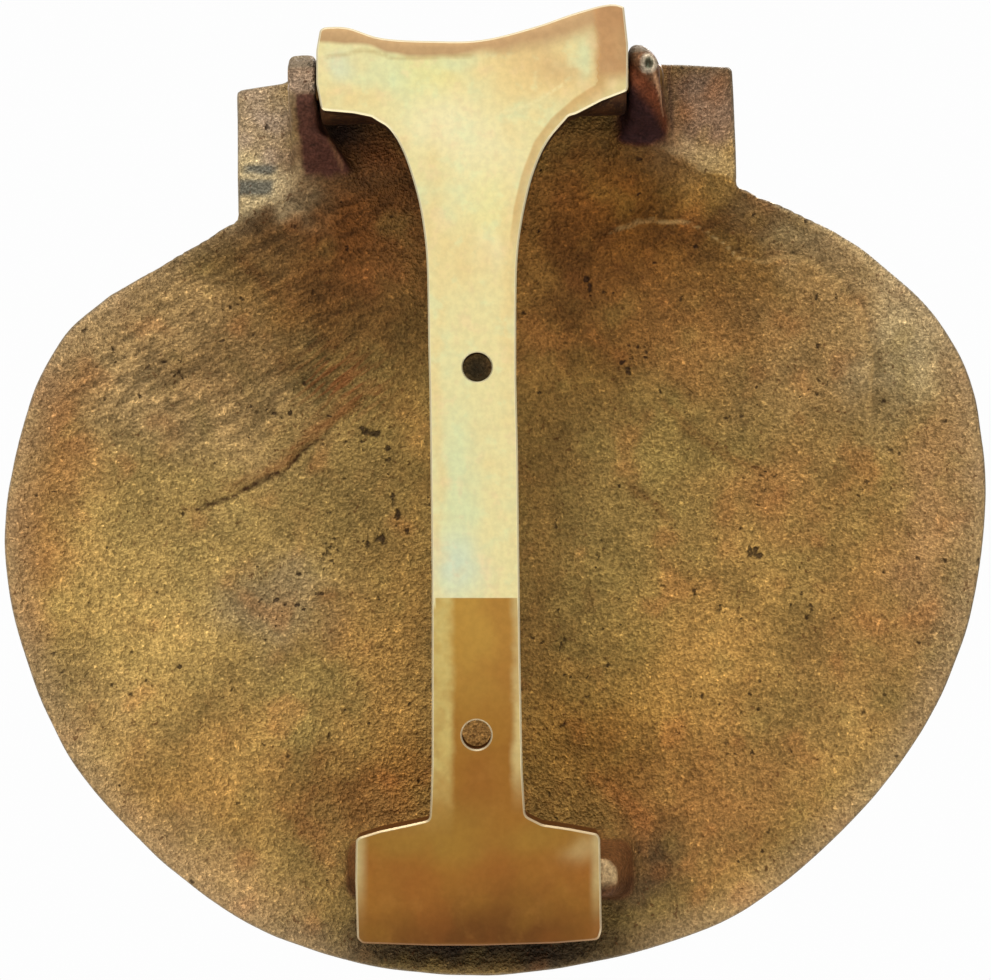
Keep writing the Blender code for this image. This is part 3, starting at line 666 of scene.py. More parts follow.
def shell_colours(x, y, z, share):
    """The patina over the whole casting, with its painted shade and highlights, as linear colours, and how
    calm its texture is.
    """
    # Darker towards the top: painted shade of the upper dish wall under the head.
    base = np.array(srgb(150, 121, 66)) * (0.75 + 0.25 * step(60.0, -10.0, z)[:, None])
    colour = washed(base, x, z, TINTS, PATINA_AND_SHADE, 3.6)
    warm = rough(x, z, (1.0, 5.5, 71), (0.6, 2.6, 72))
    colour = lay(colour, TINTS["rust"], step(0.25, 1.2, warm) * 0.32)
    colour = lay(colour, TINTS["olive"], step(-0.25, -1.2, warm) * 0.32)
    for *place, factor in SHIFTS:
        colour = colour * (1 + spot(x, z, *place)[:, None] * (np.array(factor) - 1))
    # Along the lobed step the inner side is painted lighter and the outer side darker: painted light and
    # shade.
    gap, along = line_distance(x, z, LOBES)
    edge = faded(along, 0.15, 0.8) * bell(gap / 2.4)
    lit = np.where(signed_distance(x, z, LOWERED) < 0, 0.1, -0.28)
    under_foot = step(34.0, 20.0, np.abs(x + 3.0)) * step(-62.0, -69.0, z)
    land = step(0.93, 1.03, share) * step(72.0, 52.0, z) * (1 - 0.9 * under_foot)
    lip = share + rough(x, z, (0.010, 3.0, 17), (0.008, 1.3, 18))
    by_ears = step(46.0, 58.0, z) * step(22.0, 31.0, np.abs(x))
    hollow = by_ears * step(1.0, 0.985, lip) * step(0.88, 0.975, share)
    crest = by_ears * step(27.0, 41.0, np.abs(x)) * step(0.995, 1.005, lip) * step(1.06, 1.03, share)
    behind_bar = step(10.5, 6.0, np.abs(x)) * step(74.0, 66.0, z) * step(-36.0, -14.0, z)
    colour = colour * (1 + 0.2 * rough(x, z, (0.9, 11.0, 73), (0.8, 3.8, 74)))[:, None]
    colour = colour * (1 + edge * lit)[:, None]
    # Just inside the lip by the ears the dish is painted darker, as shade under the lip.
    colour = lay(colour, (178, 150, 112), 0.55 * land) * (1 - 0.18 * hollow)[:, None]
    colour = lay(colour, (196, 172, 124), 0.32 * crest)
    ragged = rough(x, z, (1.0, 1.6, 19), (0.6, 0.8, 20))
    for low, high, left, right in ((67.9, 69.3, 42.1, 37.2), (63.9, 66.6, 43.2, 37.0)):
        bar_x = step(right - 0.9, right + 0.5, x + 0.8 * ragged) * step(left + 0.9, left - 0.3, x)
        bar_z = step(low - 0.8, low + 0.3, z + 0.5 * ragged) * step(high + 0.8, high - 0.3, z)
        colour = lay(colour, (72, 78, 76), 0.8 * bar_x * bar_z)
    # Painted shade on the shell behind the bar.
    colour = lay(colour, (98, 66, 32), 0.12 * behind_bar)
    # Behind the upper hole a dark spot of painted shade, behind the lower hole a light spot of painted light.
    for rgb, at_z, size, most in (((28, 32, 31), 33.0, 4.0, 0.8), ((206, 152, 88), -34.7, 6.0, 0.6)):
        colour = lay(colour, rgb, most * bell(np.hypot(x, z - at_z) / size))
    for line in VEINS:
        gap, along = line_distance(x + 0.6 * ragged, z, line)
        colour = lay(colour, (104, 62, 28), 0.5 * bell(gap / 0.9) * faded(along, 0.2, 0.8))

    u, v, w = hinge_frame(x, y, z)
    ragged = flat_noise(x, z, 1.3, 75)
    lug = step(-14.2, -12.6, y + 0.5 * ragged) * ((z > 60) & (np.abs(u) > 18))
    plus, minus = lug * (u > 0), lug * (u < 0)
    facet = step(32.3, 31.5, u + 0.3 * ragged) * step(-0.8, -2.2, w + 0.6 * ragged)
    ridge, _ = line_distance(x, z, [(28.2, 78.4), (26.6, 74.0), (24.4, 68.6)])
    top = step(-1.9, -1.0, w + 0.5 * ragged) * step(3.0, 3.8, v)
    hem = bell((w + 0.3 + 0.9 * ragged) / 0.7) * step(0.0, 0.6, ragged + 0.3)
    fall = (x + 30.9) * 0.6 - (z - 82.6) * 0.62
    spine, _ = line_distance(x, z, [(-30.9, 83.4), (-32.0, 80.8), (-33.2, 78.2)])
    mark = np.hypot((u - MARK[0]) / 0.9, (w - MARK[1]) / 1.2)
    near = np.abs(z - BOSS_CENTRE[1]) + np.abs(y + 14) < 22
    boss = np.full(len(x), 9.0)
    boss[near] = boss_field(x[near], y[near], z[near])
    flank = step(0.9, 0.1, boss) * step(-19.5, -17.5, y)
    boss_top = flank * step(-9.6, -8.9, y) * step(-60.6, -58.8, z + 0.5 * ragged)
    worm = step(0.35, 0.8, flat_noise(x, z, 1.1, 76)) * bell(np.hypot(x + 31.5, (z + 55.5) * 0.7) / 4.5)
    for rgb, part in (
        # The +X lug, the -X lug, the shell round them, and the boss. The +X lug's facet, the lower fall of
        # the
        # -X lug, the spot under the head and the boss's lower flank are painted shade; the pale line on the
        # +X lug's ridge is a painted highlight, and the boss's worn land is pale only on its upper part, as
        # wear and a painted highlight.
        ((78, 44, 36), 0.92 * facet * plus),
        ((142, 98, 68), 0.6 * step(0.6, 0.15, ridge) * plus),
        ((150, 126, 104), 0.85 * top * plus),
        ((232, 218, 196), 0.8 * hem * plus * (v > 2)),
        ((96, 62, 44), 0.8 * minus),
        ((112, 54, 28), 0.75 * step(0.0, 1.2, fall) * minus),
        ((38, 22, 26), 0.9 * step(1.8, 3.6, fall) * minus),
        ((196, 150, 112), 0.75 * step(0.55, 0.1, spine) * minus),
        ((190, 176, 152), 0.8 * step(1.8, 1.2, mark + 0.45 * ragged) * minus * (v > 3)),
        ((92, 98, 78), step(1.05, 0.6, mark) * minus * (v > 3)),
        ((60, 36, 30), 0.6 * groove(x, z, 0.5)),
        ((34, 22, 24), 0.85 * spot(x, z, 25, 75.5, 5.5, 5.0) * step(-12.5, -14.0, y)),
        ((116, 74, 42), 0.8 * flank),
        ((70, 44, 28), 0.6 * flank * step(-58.6, -61.2, z)),
        ((190, 162, 118), 0.9 * boss_top * step(-0.7, 0.1, ragged + 0.2)),
        ((44, 28, 18), 0.7 * worm),
    ):
        colour = lay(colour, rgb, part)
    calm = 0.75 * np.maximum(minus, plus * (w < -1.5))
    return colour, np.maximum(calm, 0.7 * flank)


def make_shell():
    vertices, quads = surface_net([spaced(*axis) for axis in MESH_AXES], shell_field)
    data = bpy.data.meshes.new("shell_casting")
    data.from_pydata((settled(vertices, shell_field) * MM).tolist(), [], quads.tolist())
    data.validate()
    data.shade_smooth()
    obj = placed("shell_casting", data)
    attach(obj, "knocker")
    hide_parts("scallop_shell")

    co, out = bulge(data)
    x, y, z = co.T
    outline, front, back, _, _, share = fields.sample(x, z)
    behind = step(0.35, 0.75, (y - front) / np.maximum(back - front, 0.5))
    colour, calm = shell_colours(x, y, z, share)
    pitted = [bell(np.hypot(x - at_x, z - at_z) / size) for at_x, at_z, size in PITTED]
    single = [1.5 - np.hypot(x - at_x, z - at_z) / size for at_x, at_z, size in PITS]
    at = wavy(x, z)
    gap, along = line_distance(*at, CREASE)
    crease = gap + 1.5 * step(0.03, 0.0, along) + 0.3 * step(0.5, 0.8, along) + 3.0 * step(0.9, 1.0, along)
    ridge = bell((gap - 1.2) / (0.8 + 0.6 * along)) * step(0.05, 0.4, along)
    lobe, along = line_distance(*at, LOBES)
    wrinkle = step(10.0, 26.0, x) * step(8.0, 30.0, z) + 0.5 * step(-16.0, -34.0, x) * step(40.0, 60.0, z)
    store(
        obj,
        back=behind,
        bulge=out * step(0.6, 2.2, -outline),
        # These colours include painted shade and highlights as well as the patina.
        patina=colour,
        calm=calm,
        rim=-outline,
        valley=np.where(behind > 0.5, 9.0, valley_distance(x, z)),
        pitted=np.max(pitted, axis=0),
        single=np.maximum(np.max(single, axis=0), 0.0),
        crease=crease,
        ridge=ridge * (height_over(*at, CREASE) > 0),
        lobe=lobe + 3.0 * step(0.2, 0.0, along) + 3.0 * step(0.95, 1.0, along),
        wrinkle=wrinkle * step(1.0, 0.93, share) * (0.65 + 0.35 * flat_noise(x, z, 9.0, 77)),
        streaks=spot(x, z, 25.5, 30.5, 8.0, 6.0),
    )
    return obj


# ---------------------------------------------------------------- the bracket

HEAD_TOP = [
    (27.4, 90.7), (26.4, 91.2), (22.4, 91.1), (16.6, 89.3), (7.7, 88.8), (-0.8, 89), (-9.7, 91.2),
    (-17.6, 93.9), (-23.2, 95.2), (-25.6, 94.8),
]
HEAD_TO_NECK_MINUS_X = [(-26.3, 88.3), (-26.3, 80.2), (-21.7, 78.4), (-17.3, 76.1)]
NECK_MINUS_X = [(-15.9, 75.7), (-12.1, 71), (-9.6, 65.1), (-7.9, 57.8), (-7, 50.6), (-6.8, 42)]
BAR_MINUS_X = [(-6.8, 30), (-7.1, 17), (-7.5, -17), (-7.9, -38), (-8.2, -43), (-8.4, -46.1)]
FOOT = [
    (-11.4, -47.6), (-16.2, -48.3), (-20.9, -49.2), (-21.4, -50), (-21.7, -65.9), (-21.2, -67.7),
    (-13.6, -68.3), (-0.5, -68.7), (8.2, -68.7), (20, -68.3), (20.9, -67.4), (21.2, -57.2), (21.1, -50.3),
    (20.5, -49.8), (16.9, -48.7), (10.8, -47.4),
]
BAR_PLUS_X = [(8.3, -46.8), (8.1, -43.3), (7.9, -37), (7.9, -4), (8.1, 14), (8.3, 28)]
NECK_PLUS_X = [
    (8.5, 36), (8.6, 44), (8.8, 50.6), (9.3, 55.8), (10.2, 61), (11.7, 66.3), (13.3, 70.4), (15.3, 73.5),
    (17.2, 74.8), (18.6, 75.7),
]
HEAD_TO_NECK_PLUS_X = [(21.5, 76.2), (27.1, 76.7), (28, 81.3), (28, 87.1)]

EDGE_BREAK = 0.28
FACE_STEP = 0.7
THREAD_DEPTH, THREAD_PITCH = 0.22, 0.46
# Lines on the door face: the top band and its edge, the band at the head's -X end, the neck's facet and
# the arc above it.
TOP_BAND = [
    (29, 88.4), (24, 88.5), (20, 88), (16, 86.8), (12, 86.2), (5, 86), (0, 86.5), (-5, 87), (-10, 87.8),
    (-15, 88.8), (-19, 90), (-20.5, 90.6),
]
BAND_LINE = [(26, 86), (23, 86.4), (20, 87.2), (17, 86.6), (15, 85.8), (10, 85.8), (1, 86.1)]
END_LINE = [(-20.5, 95), (-20.5, 91.8), (-21.2, 88), (-21, 83.4)]
NECK_FACET = [
    (-20.8, 81), (-16.8, 78.6), (-12.9, 75.2), (-10, 71), (-7.6, 65), (-6.4, 60), (-5.7, 53), (-5.3, 44),
    (-7.4, 38),
]
ARC = [(-3, 76), (-6, 76.6), (-9, 77.6), (-12, 79.2), (-15, 81.2)]


def bracket_outline():
    raw = [
        *smooth_path(HEAD_TOP, 6), *HEAD_TO_NECK_MINUS_X, *smooth_path(NECK_MINUS_X, 6), *BAR_MINUS_X,
        *FOOT, *BAR_PLUS_X, *smooth_path(NECK_PLUS_X, 6), *HEAD_TO_NECK_PLUS_X,
    ]
    return rounded(thinned(arrays(raw), 0.6), 0.45)


def thinned(points, least):
    """Drops each point that is closer than least to the one kept before it."""
    found = [points[0]]
    for p in points[1:]:
        if np.linalg.norm(p - found[-1]) >= least:
            found.append(p)
    return found


def rounded(points, amount):
    """Replaces each corner of a closed outline with a short arc."""
    found = []
    count = len(points)
    for i, p in enumerate(points):
        before, after = points[i - 1] - p, points[(i + 1) % count] - p
        a, b = np.linalg.norm(before), np.linalg.norm(after)
        bend = abs(math.atan2(before[0] * after[1] - before[1] * after[0], before @ after))
        if math.pi - bend < math.radians(9):
            found.append(p)
            continue
        reach = min(amount * (1.6 if math.pi - bend > 0.9 else 1.0), 0.4 * a, 0.4 * b)
        first, last = p + before / a * reach, p + after / b * reach
        for t in (0.0, 0.33, 0.67, 1.0):
            found.append((1 - t) ** 2 * first + 2 * t * (1 - t) * p + t * t * last)
    return found


def resampled(points, spacing):
    found = []
    for a, b in zip(points, [*points[1:], points[0]]):
        pieces = max(1, math.ceil(np.linalg.norm(b - a) / spacing))
        found += [a + (b - a) * k / pieces for k in range(pieces)]
    return found


def inset(points, amount):
    """The outline moved inwards, whichever way round it runs."""
    count = len(points)
    found = []
    area = sum(points[i - 1][0] * points[i][1] - points[i][0] * points[i - 1][1] for i in range(count))
    side = 1.0 if area > 0 else -1.0
    for i, p in enumerate(points):
        a, b = p - points[i - 1], points[(i + 1) % count] - p
        a, b = a / np.linalg.norm(a), b / np.linalg.norm(b)
        normal = np.array((-(a[1] + b[1]), a[0] + b[0])) * side
        normal = normal / np.linalg.norm(normal)
        found.append(p + normal * amount / max(0.5, math.sqrt(max(0.0, (1 + a @ b) / 2))))
    return found


def ring(centre, radius, sides=40):
    turns = [math.tau * i / sides for i in range(sides)]
    return [np.array((centre[0] + radius * math.cos(t), centre[1] + radius * math.sin(t))) for t in turns]


def face_height(x, z, outline):
    """The door face: ground flat, with the softly worn bands round the head."""
    edge, _ = line_distance(x, z, outline, closed=True)
    height = rough(x, z, (0.02, 7.0, 51), (0.012, 3.0, 52)) - 0.02
    height = height - 0.1 * np.maximum(0.0, height_over(x, z, TOP_BAND)) * step(-22.0, -19.0, x)
    facet, _ = line_distance(x, z, [*END_LINE, *NECK_FACET])
    height = height - np.minimum(0.08 * np.where(beyond_facet(x, z), facet, 0.0), 0.45)
    roll = np.maximum(0.0, 1.4 - edge)
    return np.minimum(height, 0.0) - 0.035 * roll**2


def within(x, z, loops):
    """True inside the first loop and outside the others."""
    keep = inside(x, z, loops[0])
    for loop in loops[1:]:
        keep &= ~inside(x, z, loop)
    return keep


def triangulated(loops, spacing):
    """Triangles inside the first loop and outside the others, with extra points on a grid."""
    points, edges = [], []
    for loop in loops:
        base = len(points)
        points += [tuple(p) for p in loop]
        edges += [(base + i, base + (i + 1) % len(loop)) for i in range(len(loop))]
    low, high = np.min(loops[0], axis=0), np.max(loops[0], axis=0)
    gx, gz = np.meshgrid(np.arange(low[0], high[0], spacing), np.arange(low[1], high[1], spacing * 0.87))
    gx = gx + (np.arange(gx.shape[0]) % 2)[:, None] * spacing / 2
    gx, gz = gx.ravel(), gz.ravel()
    keep = within(gx, gz, loops)
    for loop in loops:
        gap, _ = line_distance(gx, gz, loop, closed=True)
        keep &= gap > 0.45 * spacing
    points += list(zip(gx[keep].tolist(), gz[keep].tolist()))
    made = delaunay_2d_cdt([Vector(p) for p in points], edges, [], 0, 1e-5)
    co = np.array([tuple(p) for p in made[0]])
    place = {given: i for i, found in enumerate(made[3]) for given in found}
    tris = np.array(made[2])
    order, base = [], 0
    for loop in loops:
        order.append([place[base + i] for i in range(len(loop))])
        base += len(loop)
    return co, tris[within(*co[tris].mean(1).T, loops)], order


def fill(mesh, verts, tris):
    for t in tris:
        mesh.faces.new([verts[i] for i in t])


def bridge(mesh, first, second):
    count = len(first)
    for i in range(count):
        j = (i + 1) % count
        mesh.faces.new((first[i], first[j], second[j], second[i]))


def make_bracket():
    outline = resampled(bracket_outline(), 1.1)
    mouths = [ring(h, HOLE_RADIUS + THREAD_DEPTH) for h in HOLES]
    mesh = bmesh.new()

    def level(loop, y):
        return [mesh.verts.new((p[0], y, p[1])) for p in loop]

    co, tris, order = triangulated([inset(outline, EDGE_BREAK), *mouths], FACE_STEP)
    heights = face_height(co[:, 0], co[:, 1], outline)
    verts = [mesh.verts.new((p[0], h, p[1])) for p, h in zip(co, heights)]
    fill(mesh, verts, tris)
    rim = [verts[i] for i in order[0]]
    shoulder = [mesh.verts.new((p[0], t.co.y - EDGE_BREAK, p[1])) for p, t in zip(outline, rim)]
    skirt = level(outline, -PLATE_THICKNESS + EDGE_BREAK)
    foot = level(inset(outline, EDGE_BREAK), -PLATE_THICKNESS)
    for first, second in ((rim, shoulder), (shoulder, skirt), (skirt, foot)):
        bridge(mesh, first, second)
    bottoms = []
    for hole, mouth in zip(HOLES, order[1:]):
        loop = [verts[i] for i in mouth]
        rings = [(HOLE_RADIUS + THREAD_DEPTH * (k % 2), -0.25 - THREAD_PITCH * k) for k in range(11)]
        for radius, y in (*rings, (HOLE_RADIUS + 0.3, -PLATE_THICKNESS)):
            following = level(ring(hole, radius), y)
            bridge(mesh, loop, following)
            loop = following
        bottoms.append(loop)
    bounds = [[np.array((v.co.x, v.co.z)) for v in loop] for loop in (foot, *bottoms)]
    front_co, front_tris, order = triangulated(bounds, 3.0)
    known = {i: v for at, loop in zip(order, (foot, *bottoms)) for i, v in zip(at, loop)}
    lower = [known.get(i) or mesh.verts.new((p[0], -PLATE_THICKNESS, p[1])) for i, p in enumerate(front_co)]
    fill(mesh, lower, front_tris)
    bmesh.ops.recalc_face_normals(mesh, faces=mesh.faces)

    obj = object_from(mesh, "bracket_casting")
    r = BARREL_RADIUS
    barrel = turned("barrel", BARREL_ENDS, [(0.0, r - 0.6), (0.18, r - 0.2), (0.6, r)])
    for piece in (barrel, foot_pad(), neck_web()):
        boolean(obj, piece, "UNION")
    boolean(obj, turned("bracket_bore", (-40, 40), [(0.0, BORE_RADIUS)]), "DIFFERENCE")
    apply_modifiers(obj)
    obj.data.shade_smooth()
    obj.data.set_sharp_from_angle(angle=math.radians(24))
    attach(obj, "bracket")
    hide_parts("mounting_bracket")
    bracket_tones(obj, outline)
    return obj


# Tints of the bracket's ground face, in 8-bit sRGB.
GROUND_TINTS = {
    "cream": (244, 234, 188), "straw": (234, 220, 160), "gold": (234, 204, 140), "tan": (196, 150, 104),
    "rust": (186, 128, 80), "green": (214, 224, 176), "mint": (206, 222, 198), "lemon": (236, 228, 140),
    "olive": (152, 116, 48), "brown": (150, 101, 40), "red": (140, 84, 36), "dark": (96, 58, 24),
    "pale": (204, 184, 126),
}
# The door face above and below the change of tone, which is a painted reflection: tint, x, z, half sizes,
# turn and strength.
GROUND = [
    ("gold", -10, 84, 13, 6, 12, 0.75), ("green", 16, 83, 7, 4, 20, 0.5),
    ("mint", 23.5, 84, 2.4, 2.4, 0, 0.5), ("lemon", 9, 83, 5, 4, 0, 0.35), ("green", 4, 85.6, 4, 1.4, 0, 0.5),
    ("gold", 22, 79, 5, 2, 0, 0.5), ("gold", -12, 82, 8, 6, 0, 0.5), ("tan", -13, 84.5, 6, 2.6, 14, 0.4),
    ("cream", 6, 74, 7, 5, 0, 0.6), ("cream", -2, 66, 6, 8, 0, 0.45), ("lemon", -2, 60, 4, 6, 0, 0.3),
    ("gold", 8.6, 62, 1.6, 9, 6, 0.5), ("cream", -2, 52, 3, 3, 0, 0.5), ("gold", -5.6, 46, 1.6, 16, 0, 0.6),
    ("gold", 3, 50, 6, 5, 0, 0.4), ("green", 3, 12, 4, 14, 0, 0.7), ("mint", 3, -3, 4.5, 5, 0, 0.7),
    ("straw", -3.6, 12, 3, 20, 0, 0.6), ("gold", 6.6, 20, 1, 24, 0, 0.5), ("straw", 0, 26, 5, 6, 0, 0.5),
    ("green", -18.9, 86.4, 1.2, 2.8, 8, 0.7), ("rust", -22.8, 88, 2.4, 5, 0, 0.6),
]
LOWER = [
    ("red", -4.6, -16, 1.8, 10, 0, 0.55), ("olive", 1, -18, 3.4, 12, 0, 0.35),
    ("red", 0.5, -44, 3.6, 8, 0, 0.4), ("red", 15, -55, 6, 6, 0, 0.5), ("red", -10, -57, 10, 6, 0, 0.5),
    ("dark", 0, -69, 26, 6, 0, 0.95), ("dark", -6, -63, 14, 5, 0, 0.5), ("olive", 10, -50.8, 11, 3, 9, 0.7),
    ("pale", -18.8, -51.2, 3.2, 2.2, -25, 0.6), ("olive", -12, -50, 8, 2.6, -8, 0.6),
    ("olive", 3, -47, 6, 4, 0, 0.6),
]


def bracket_tones(obj, outline):
    """Stores the washes of the two tones, whose change is a painted reflection, and the distances that the
    sharp lines follow.
    """
    x, _, z = read(obj.data.vertices, "co", 3).T / MM
    upper = np.array(srgb(*GROUND_TINTS["straw"])) + 0 * x[:, None]
    upper = washed(upper, x, z, GROUND_TINTS, GROUND, 0.9)
    blotch = rough(x, z, (1.0, 4.4, 83), (0.6, 1.9, 84))
    for name, share in (("green", step(0.2, 1.2, blotch)), ("gold", step(-0.2, -1.2, blotch))):
        upper = lay(upper, GROUND_TINTS[name], 0.3 * share)
    lower = np.array(srgb(*GROUND_TINTS["brown"])) * 1.05 + 0 * x[:, None]
    edge, _ = line_distance(x, z, outline, closed=True)
    for hole in HOLES:
        edge = np.minimum(edge, np.abs(np.hypot(x - hole[0], z - hole[1]) - HOLE_RADIUS - 0.1) + 0.2)
    wave = rough(x, z, (0.35, 4.0, 81), (0.2, 1.8, 82))
    soft = np.interp(x, [-20, -6, 4, 14], [2.0, 1.5, 0.8, 0.5])
    end_x = np.interp(z, [81.0, 83.4, 88.0, 91.8], [-20.8, -21.0, -21.2, -20.5])
    facet, _ = line_distance(x, z, NECK_FACET)
    store(
        obj,
        upper=upper,
        lower=washed(lower, x, z, GROUND_TINTS, LOWER, 0.8),
        edge=edge,
        band=(height_over(x, z, TOP_BAND) + wave) / soft,
        line=line_distance(x, z + 0.4 * wave, BAND_LINE)[0],
        end=np.minimum(end_x - x + wave, (z - 82.6) * 0.45),
        facet=np.where(beyond_facet(x, z), facet, -facet) + 0.4 * wave,
        arc=line_distance(x, z, ARC)[0],
    )


def beyond_facet(x, z):
    """True on the side of the end line and the neck facet's line that is ground lower."""
    return inside(x, z, [*END_LINE, *NECK_FACET, (-9.0, 38.0), (-14.0, 60.0), (-30.0, 74.0), (-30.0, 95.0)])


def object_from(mesh, name):
    bmesh.ops.scale(mesh, vec=(MM, MM, MM), verts=mesh.verts)
    data = bpy.data.meshes.new(name)
    mesh.to_mesh(data)
    mesh.free()
    return placed(name, data)


def boolean(target, other, operation):
    modifier = target.modifiers.new(other.name, "BOOLEAN")
    modifier.operation = operation
    modifier.object = other
    modifier.solver = "EXACT"


def apply_modifiers(obj):
    """Bakes the modifiers into the mesh and drops the helper objects that they used."""
    helpers = [m.object for m in obj.modifiers]
    bpy.context.view_layer.update()
    graph = bpy.context.evaluated_depsgraph_get()
    data = bpy.data.meshes.new_from_object(obj.evaluated_get(graph))
    obj.modifiers.clear()
    obj.data = data
    for helper in helpers:
        bpy.data.objects.remove(helper)


def on_hinge(obj):
    obj.location = Vector(PIN_CENTRE) * MM
    obj.rotation_euler = (0, PIN_TILT, 0)
    return obj


def stacked(name, loops):
    """A piece through loops of corners in millimetres, closed at both ends."""
    mesh = bmesh.new()
    rings = [[mesh.verts.new(p) for p in loop] for loop in loops]
    for first, second in zip(rings, rings[1:]):
        bridge(mesh, first, second)
    mesh.faces.new(rings[0])
    mesh.faces.new(rings[-1])
    bmesh.ops.recalc_face_normals(mesh, faces=mesh.faces)
    return object_from(mesh, name)


def turned(name, ends, end, middle=()):
    """A piece turned about the hinge's axis. Each end has the same (distance from the end, radius) steps."""
    low, high = ends
    stations = [(low + at, radius) for at, radius in end] + [(x, end[-1][1]) for x in middle]
    stations += [(high - at, radius) for at, radius in reversed(end)]
    turns = [math.tau * i / 64 for i in range(64)]
    loops = [[(x, radius * math.cos(t), radius * math.sin(t)) for t in turns] for x, radius in stations]
    return on_hinge(stacked(name, loops))


def foot_pad():
    outline = resampled(rounded(arrays(FOOT), 0.8), 2.0)
    face = -FOOT_THICKNESS
    levels = ((0.3, -2.75), (0.5, face + 0.7), (0.75, face + 0.2), (1.3, face))
    return stacked("foot_pad", [[(p[0], y, p[1]) for p in inset(outline, amount)] for amount, y in levels])


def neck_web():
    side = [(-4, 49), (-5.6, 56), (-7.4, 62.5), (-9.6, 69.5), (-11.4, 76), (-11.4, 80), (-4, 80)]
    levels = ((-6.6, 0.9), (-5.9, 0.0), (6.9, 0.0), (7.6, 0.9))
    return stacked("neck_web", [[(x, min(y + thin, -3.5), z) for y, z in side] for x, thin in levels])


def make_pin():
    low, high = PIN_ENDS
    r = PIN_RADIUS
    end = [(0.0, 0.9), (0.12, 1.5), (0.32, r - 0.35), (0.6, r - 0.05), (0.8, r)]
    obj = turned("pin", PIN_ENDS, end, np.linspace(low + 4, high - 4, 12))
    obj.data.shade_smooth()
    obj.data.set_sharp_from_angle(angle=math.radians(40))
    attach(obj, "knocker")
    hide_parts("hinge_pin")
    return obj


# ---------------------------------------------------------------- materials


class Value:
    """What a node gives. It can be added, subtracted and multiplied, which makes the node for it."""

    def __init__(self, nodes, socket):
        self.nodes, self.socket = nodes, socket

    def __add__(self, other):
        return self.nodes.math("ADD", self, other)

    def __sub__(self, other):
        return self.nodes.math("SUBTRACT", self, other)

    def __mul__(self, other):
        return self.nodes.math("MULTIPLY", self, other)

    def beside(self, output):
        """Another output of the same node."""
        return Value(self.nodes, self.socket.node.outputs[output])


class Nodes:
    """Adds nodes to a material or to the world."""

    def __init__(self, owner):
        owner.use_nodes = True
        self.tree = owner.node_tree

    def feed(self, socket, value):
        if isinstance(value, Value):
            self.tree.links.new(value.socket, socket)
        elif isinstance(value, tuple) and socket.type == "RGBA":
            socket.default_value = (*value, 1.0)
        else:
            socket.default_value = value

    def use(self, kind, output, inputs=(), **settings):
        """A new node's output. The inputs are given by their names or numbers."""
        made = self.tree.nodes.new("ShaderNode" + kind)
        for key, value in settings.items():
            setattr(made, key, value)
        for key, value in dict(inputs).items():
            self.feed(made.inputs[key], value)
        return Value(self, made.outputs[output])

    def math(self, operation, *values):
        return self.use("Math", 0, enumerate(values), operation=operation)

    def axis(self, name, vector):
        return self.use("SeparateXYZ", name, {0: vector})


class Shader(Nodes):
    """Builds one node material."""

    def __init__(self, name):
        self.material = bpy.data.materials.new(name)
        super().__init__(self.material)
        self.surface = self.tree.nodes["Principled BSDF"]
        self.where = self.use("TexCoord", "Object")

    def attribute(self, name, output="Fac"):
        return self.use("Attribute", output, attribute_name=name)

    def noise(self, size, detail=2.0, roughness=0.5, vector=None):
        """Noise with features about size millimetres across."""
        inputs = {"Scale": 1.0 / (size * MM), "Detail": detail, "Roughness": roughness}
        return self.use("TexNoise", "Fac", {"Vector": vector or self.where, **inputs})

    def mapped(self, key, setting, vector=None):
        return self.use("Mapping", 0, {"Vector": vector or self.where, key: setting})

    def turned(self, degrees, along):
        """Coordinates turned about the Y axis, with the first one stretched."""
        turned = self.mapped("Rotation", (0.0, math.radians(degrees), 0.0))
        return self.mapped("Scale", (along, 1.0, 1.0), turned)

    def ramp(self, value, low, high, to_low=0.0, to_high=1.0):
        """Smooth step of a value between two limits."""
        inputs = {"Value": value, "From Min": low, "From Max": high, "To Min": to_low, "To Max": to_high}
        return self.use("MapRange", 0, inputs, interpolation_type="SMOOTHSTEP")

    def mix(self, share, a, b):
        return self.use("Mix", 2, {0: share, 6: a, 7: b}, data_type="RGBA")

    def layered(self, colour, *layers):
        """Lays colours over a colour. A share is a value, or (value, low, high, most) for a smooth step."""
        for share, rgb in layers:
            if isinstance(share, tuple):
                share = self.ramp(*share[:3], 0.0, share[3])
            colour = self.mix(share, colour, srgb(*rgb))
        return colour

    def scaled(self, colour, *factors):
        """The colour times each of the numbers."""
        for factor in factors:
            colour = self.use("VectorMath", 0, {0: colour, "Scale": factor}, operation="SCALE")
        return colour

    def specks(self, size, limit, ripple):
        """Ragged specks in the cells whose random number is above the limit."""
        inputs = {0: ripple, 1: (1.1 * size * MM,) * 3, 2: self.where}
        moved = self.use("VectorMath", 0, inputs, operation="MULTIPLY_ADD")
        distance = self.use("TexVoronoi", "Distance", {"Vector": moved, "Scale": 1.0 / (size * MM)})
        chance = self.use("SeparateColor", 0, {0: distance.beside("Color")})
        reach = self.ramp(chance.beside(1), 0.0, 1.0, 0.2, 0.42)
        return self.math("GREATER_THAN", chance, limit) * self.ramp(distance, reach, 0.08)

    def bump(self, height, strength, distance):
        return self.use("Bump", 0, {"Strength": strength, "Distance": distance * MM, "Height": height})

    def finish(self, colour, roughness, metallic, **others):
        inputs = {"Base Color": colour, "Roughness": roughness, "Metallic": metallic, **others}
        for name, value in inputs.items():
            self.feed(self.surface.inputs[name], value)
        return self.material


